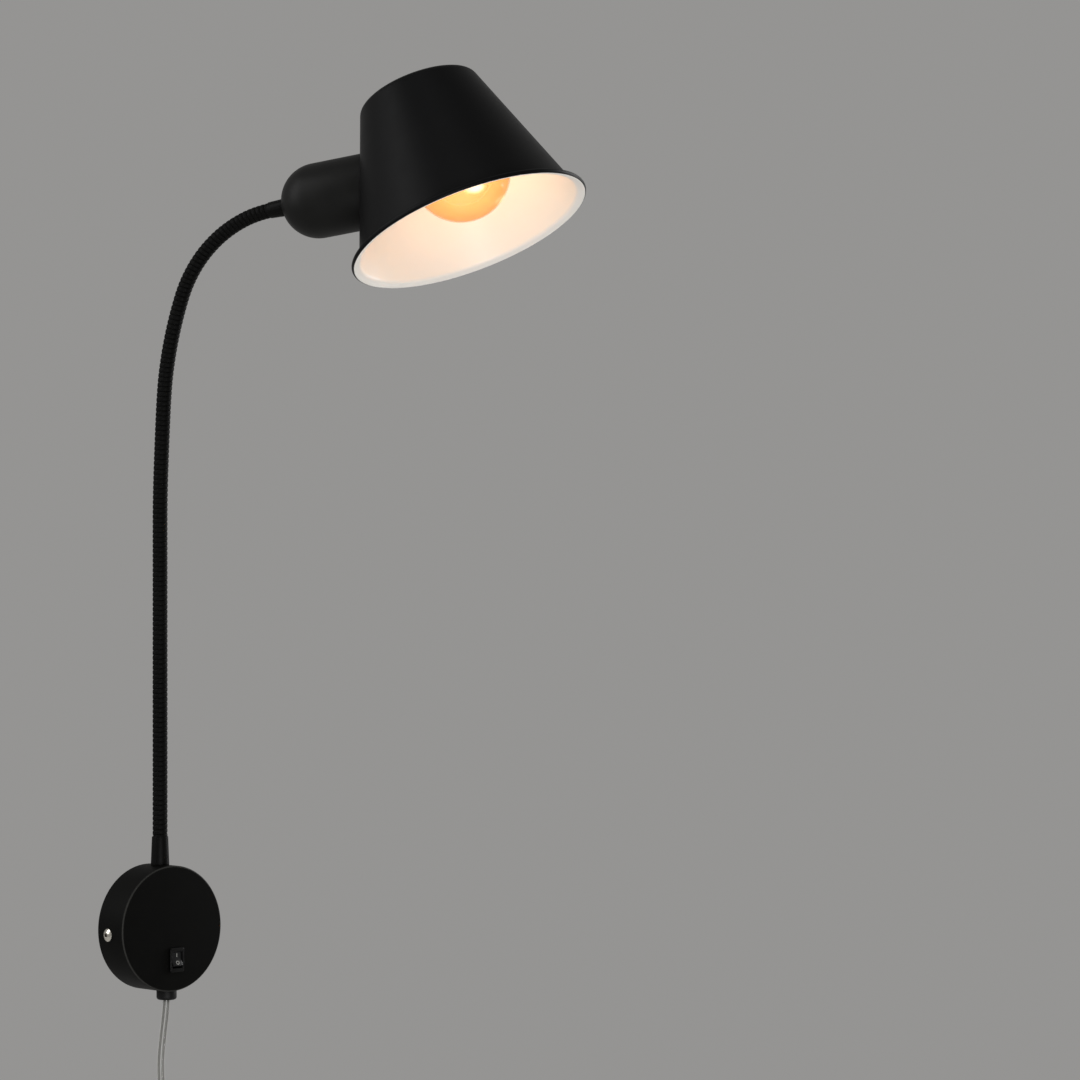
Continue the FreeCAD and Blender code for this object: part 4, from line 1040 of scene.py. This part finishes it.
def shade_cone(name, inset=0.0):
    """A solid cone with the shade's slope, that much inside its outer face."""
    slope = (FLARE_RADIUS - SHADE_TOP) / (SHADE_HEIGHT - FLARE_HEIGHT)
    foot = FLARE_RADIUS + slope * FLARE_HEIGHT - inset
    return turned(name, [(0, 0), (foot, 0), (SHADE_TOP - inset, SHADE_HEIGHT), (0, SHADE_HEIGHT)], 192)


cut_by(cup, shade_cone("shade_cone"), SHADE_IN_HEAD)
# the cup's powder coat is the black paint made paler than the canopy's: painted light on the cup
cup_coat_painted_light = powder_coat("cup_powder_coat_painted_light", (0.0054, 0.0054, 0.0050), (0.0076, 0.0076, 0.0072), 0.46, 0.12)
finished(cup, HEAD_PLACE, [cup_coat_painted_light], edge=0.15)
ridden(cup, "head", "cup_black", "socket_cup")


# ---------------------------------------------------------------- shade
# The shade is spun from 1 mm steel: a cone with a flat top, a soft top edge, and a short flare that
# ends in a rolled bead. It is matt black outside and warm white enamel inside.

TOP_EDGE = 7.0
shade_coat = powder_coat("shade_powder_coat", (0.0020, 0.0021, 0.0023), (0.0028, 0.0029, 0.0032), 0.46, 0.08)

enamel = Finish("shade_enamel", (0.93, 0.90, 0.85), 0.34, Specular_IOR_Level=0.4)
enamel_cloud = enamel.grain(22)
enamel.set({"Roughness": (enamel_cloud - 0.5) * 0.12 + 0.34})
enamel = enamel.bumped(enamel.grain(3.2, 3), 0.05, 0.35).material

bead_height = BEAD * 1.1
shade = turned(
    "lamp_shade",
    [
        # outside, from the bead up to the top
        (FLARE_RADIUS, FLARE_HEIGHT, 6),
        (SHADE_TOP, SHADE_HEIGHT, TOP_EDGE),
        (0, SHADE_HEIGHT),
        # inside, back down again and round the rolled bead
        (0, SHADE_HEIGHT - SHADE_SHEET),
        (SHADE_TOP - 0.83, SHADE_HEIGHT - SHADE_SHEET, TOP_EDGE - SHADE_SHEET),
        (FLARE_RADIUS - 0.2, FLARE_HEIGHT - 2.4, 5),
        *arc((SHADE_RIM, bead_height), BEAD, -125.6, 150, 20),
    ],
    256,
)
cut_by(shade, drill(19.7, 0, CUP_TO_AXIS), SHADE_IN_HEAD.inverted())
finished(shade, SHADE_PLACE, [shade_coat, enamel])
shade_axis = SHADE_PLACE.to_3x3() @ Vector((0, 0, 1))
for face in shade.data.polygons:
    spot = face.center - SHADE_PLACE.translation
    outward = spot - shade_axis * spot.dot(shade_axis)
    level = spot.dot(shade_axis) / MM
    facing = face.normal.dot(outward.normalized())
    upward = face.normal.dot(shade_axis)
    if level > 2 * BEAD:
        white = facing < -0.2 or upward < -0.6
    else:
        white = facing < 0.3 and upward < 0.4
    face.material_index = 1 if white else 0
ridden(shade, "head", "shade_black", "shade")


# ---------------------------------------------------------------- lampholder and shade ring
# The E27 lampholder is moulded in black heat-proof plastic, in two halves screwed together. A
# ribbed ring on its thread clamps the shade against the cup from inside.

holder_plastic = moulded("holder_plastic", (0.0125, 0.0125, 0.0125), 0.4, grain_mm=0.8)

HOLDER_RADIUS, RIB_COUNT = 19.5, 40
ring = turned(
    "shade_clamp_ring",
    [(HOLDER_RADIUS + 0.1, 26), (23.6, 26), (23.6, 54, 1.2), (HOLDER_RADIUS + 0.1, 54, 0.5)],
    160,
)
cone = shade_cone("inner_cone", 1.2)


def set_round(name, piece, count, first, place):
    """One piece of that many copies, evenly round the axis from a first angle. Uses up the piece."""
    copies = []
    for number in range(count):
        copies.append(copied(piece, f"{name}_{number}"))
        copies[-1].matrix_world = turn(first + 360 * number / count, "Z") @ place
    bpy.data.objects.remove(piece)
    whole = joined(name, *copies)
    settle()
    return whole


rib = slab("ring_rib", [(0, -0.5), (0.45, -0.5, 0.2), (0.45, 0.5, 0.2), (0, 0.5)], 10.5)
ribs = set_round("ring_ribs", rib, RIB_COUNT, 0, at(23.5, 0, 42))
cone.matrix_world = SHADE_IN_HEAD
for piece, nodes in ((ring, ["shade_ring"]), (ribs, [])):
    use_modifier(piece, "BOOLEAN", operation="INTERSECT", solver="EXACT", object=cone)
    finished(piece, HEAD_PLACE, [holder_plastic])
    ridden(piece, "head", "black_plastic", *nodes)
bpy.data.objects.remove(cone)

holder = turned(
    "holder_barrel",
    [
        (0, 34),
        (17.4, 34),
        (17.4, 22),
        (HOLDER_RADIUS, 22, 0.3),
        (HOLDER_RADIUS, 70, 1.0),
        (14.2, 70, 0.8),
        (14.2, 38),
        (0, 38),
    ],
    128,
)
finished(holder, HEAD_PLACE, [holder_plastic], edge=0.1)
ridden(holder, "head", "black_plastic", "holder_body")
worn(holder_plastic, "holder_cap")
worn(zinc_plate, "holder_screws", "head_nut")
worn(contact_brass, "screw_shell", "centre_contact")


# ---------------------------------------------------------------- bulb
# A round amber glass bulb of 76 mm with an E27 cap holds four upright LED filaments on thin wires.
# The lit glass is bright orange yellow, with a painted glare where it lies in front of the filaments.

BULB_RADIUS, BULB_CENTRE, BULB_NECK, NECK_FILLET = 38.0, 120.0, 12.6, 21.7
FILAMENT_OUT = 9
# one filament's painted glare on the glass: its middle in mm, how it is squeezed, and its edge and core in m
PAINTED_GLARE_PLACE, PAINTED_GLARE_SQUEEZE = Vector((20, 23.4, 140)), Vector((1.5, 1, 0.62))
PAINTED_GLARE_EDGE, PAINTED_GLARE_CORE = 0.008, 0.002

glass = Finish("amber_glass", (0.95, 0.60, 0.18), 0.06, IOR=1.45, Emission_Strength=1.5)
amber_cloud = glass.grain(30, 1)
# seen at its edge, the glass is thicker, so it is darker and lets less through
edge_on = glass.node("LayerWeight", {}, {"Blend": 0.2}, "Facing")
# a painted glare of each filament's upper end on the glass, at the same place on all four sides
inward = HEAD_PLACE.inverted()
in_head = glass.node(
    "Mapping", {}, {"Vector": glass.place(), "Location": inward.translation, "Rotation": inward.to_euler()}
)
one_side = glass.node("VectorMath", {"operation": "ABSOLUTE"}, {0: in_head})
from_painted_glare = glass.node("VectorMath", {"operation": "SUBTRACT"}, {0: one_side, 1: PAINTED_GLARE_PLACE * MM})
from_painted_glare = glass.node("VectorMath", {"operation": "MULTIPLY"}, {0: from_painted_glare, 1: PAINTED_GLARE_SQUEEZE})
from_painted_glare = glass.node("VectorMath", {"operation": "LENGTH"}, {0: from_painted_glare}, "Value")
painted_glare = glass.node(
    "MapRange", {"interpolation_type": "SMOOTHSTEP"}, {0: from_painted_glare, 1: PAINTED_GLARE_EDGE, 2: PAINTED_GLARE_CORE}
)
glow = glass.mixed(edge_on, (0.18, 0.080, 0.022), (0.05, 0.02, 0.004))
amber = glass.mixed(amber_cloud, (0.94, 0.50, 0.13), (0.97, 0.56, 0.17))
# where the glare is painted, the glass is more opaque and glows near white
glass.set(
    {
        "Base Color": glass.mixed(edge_on, amber, (0.3, 0.16, 0.06)),
        "Roughness": (amber_cloud - 0.5) * 0.04 + 0.06,
        "Alpha": edge_on * 0.7 + painted_glare * 0.5 + 0.34,
        "Emission Color": glass.mixed(painted_glare, glow, (1.0, 0.86, 0.58)),
    }
)
amber_glass = glass.material

filament = Finish("lit_filament", (1.0, 0.75, 0.4), 0.5, Emission_Strength=11.0)
filament_beads = filament.node(
    "TexWave", {"wave_type": "BANDS"}, {"Vector": filament.place(), "Scale": 400.0}
)
filament.set({"Emission Color": filament.mixed(filament_beads, (1.0, 0.62, 0.22), (1.0, 0.72, 0.32))})
lit_filament = filament.material
nickel = metal("nickel_plate", (0.66, 0.62, 0.57), 0.3)
stem_glass = Finish("stem_glass", (0.95, 0.86, 0.7), 0.08, Alpha=0.3)
stem_cloud = stem_glass.grain(5)
stem_glass.set({"Roughness": (stem_cloud - 0.5) * 0.06 + 0.08})
stem_glass = stem_glass.material


def bulb_line(inset):
    """The glass's side from its neck to its tip, moved in by that much."""
    fillet = NECK_FILLET + inset
    reach = BULB_RADIUS + NECK_FILLET
    # the neck's fillet touches the ball and the neck
    side = BULB_NECK + NECK_FILLET
    angle = math.degrees(math.asin(side / reach))
    height = BULB_CENTRE - reach * math.cos(math.radians(angle))
    ball = arc((0, BULB_CENTRE), BULB_RADIUS - inset, angle - 90, 90, 44)
    bend = arc((side, height), fillet, 180, 90 + angle, 10)
    return [(BULB_NECK - inset, 57), *bend, *ball[1:-1], (0, BULB_CENTRE + BULB_RADIUS - inset)]


bulb = turned("bulb_globe", [*bulb_line(0), *reversed(bulb_line(1.0))], 128)
finished(bulb, HEAD_PLACE, [amber_glass], smooth=60)
bulb.visible_shadow = False
ridden(bulb, "head", "amber_glass", "bulb_glass")

CAP_THREAD = [(12.2, 0), (12.9, 0.9), (13.25, 1.8), (12.9, 2.9), (12.2, 3.9)]
cap_turns = [(radius, 49 + thread * 5.2 + rise) for thread in range(3) for radius, rise in CAP_THREAD]
cap_foot, cap_mouth = [(9, 44.2), (11.8, 47.2)], [(13.2, 65), (13.2, 69, 0.5)]
cap_inside = [(12.7, 69), (12.7, 48), (9, 46)]
cap = turned("bulb_screw_cap", [*cap_foot, *cap_turns, *cap_mouth, *cap_inside])
finished(cap, HEAD_PLACE, [nickel], smooth=50)
ridden(cap, "head", "nickel", "bulb_cap")
worn(nickel, "filament_supports")
worn(moulded("cap_black_glass", (0.010, 0.010, 0.011), 0.12, grain_mm=1.5), "bulb_insulator")
worn(metal("solder_tin", (0.55, 0.55, 0.54), 0.42), "bulb_contact")

stem = turned(
    "bulb_stem_glass",
    [(0, 57), (11.3, 57), (11.3, 60, 1.5), (3.5, 70, 5), (3.5, 98), (2.6, 100.4), (0, 101)],
    48,
)
finished(stem, HEAD_PLACE, [stem_glass], smooth=50)
stem.visible_shadow = False
ridden(stem, "head", "stem_glass", "bulb_stem")

strip = turned("filament_strip", [(0, 105), (0.5, 105), (0.9, 105.8), (0.9, 140.2), (0.5, 141), (0, 141)], 16)
filaments = set_round("bulb_filaments", strip, 4, 45, at(FILAMENT_OUT))
finished(filaments, HEAD_PLACE, [lit_filament])
filaments.visible_shadow = False
ridden(filaments, "head", "filament_glow", "led_filaments")

# the lit bulb's own light on the enamel
bulb_light = bpy.data.lights.new("bulb_light", "POINT")
bulb_light.energy = 0.015
bulb_light.color = (1.0, 0.66, 0.36)
bulb_light.shadow_soft_size = 0.03
bulb_lamp = placed(bpy.data.objects.new("bulb_light", bulb_light))
bulb_lamp.matrix_world = HEAD_PLACE @ at(0, 0, BULB_CENTRE)
bulb_lamp.visible_camera = bulb_lamp.visible_transmission = bulb_lamp.visible_glossy = False
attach(bulb_lamp, "head")


# ---------------------------------------------------------------- floor
# A plain pale floor lies well under the lamp and its hanging cord.

FLOOR_PALE, FLOOR_DULL = (0.62, 0.615, 0.605), (0.60, 0.595, 0.585)
FLOOR_SIZE, FLOOR_HEIGHT = 3.6, -0.5
floor_finish = Finish("studio_floor", FLOOR_PALE, 0.7)
floor_finish.set({"Base Color": floor_finish.mixed(floor_finish.grain(300), FLOOR_PALE, FLOOR_DULL)})
bpy.ops.object.select_all(action="DESELECT")
bpy.ops.mesh.primitive_plane_add(size=FLOOR_SIZE, location=(AIM.x, AIM.y, FLOOR_HEIGHT))
floor = bpy.context.object
floor.name = floor.data.name = "studio_floor"
settle()
floor.data.materials.append(floor_finish.material)
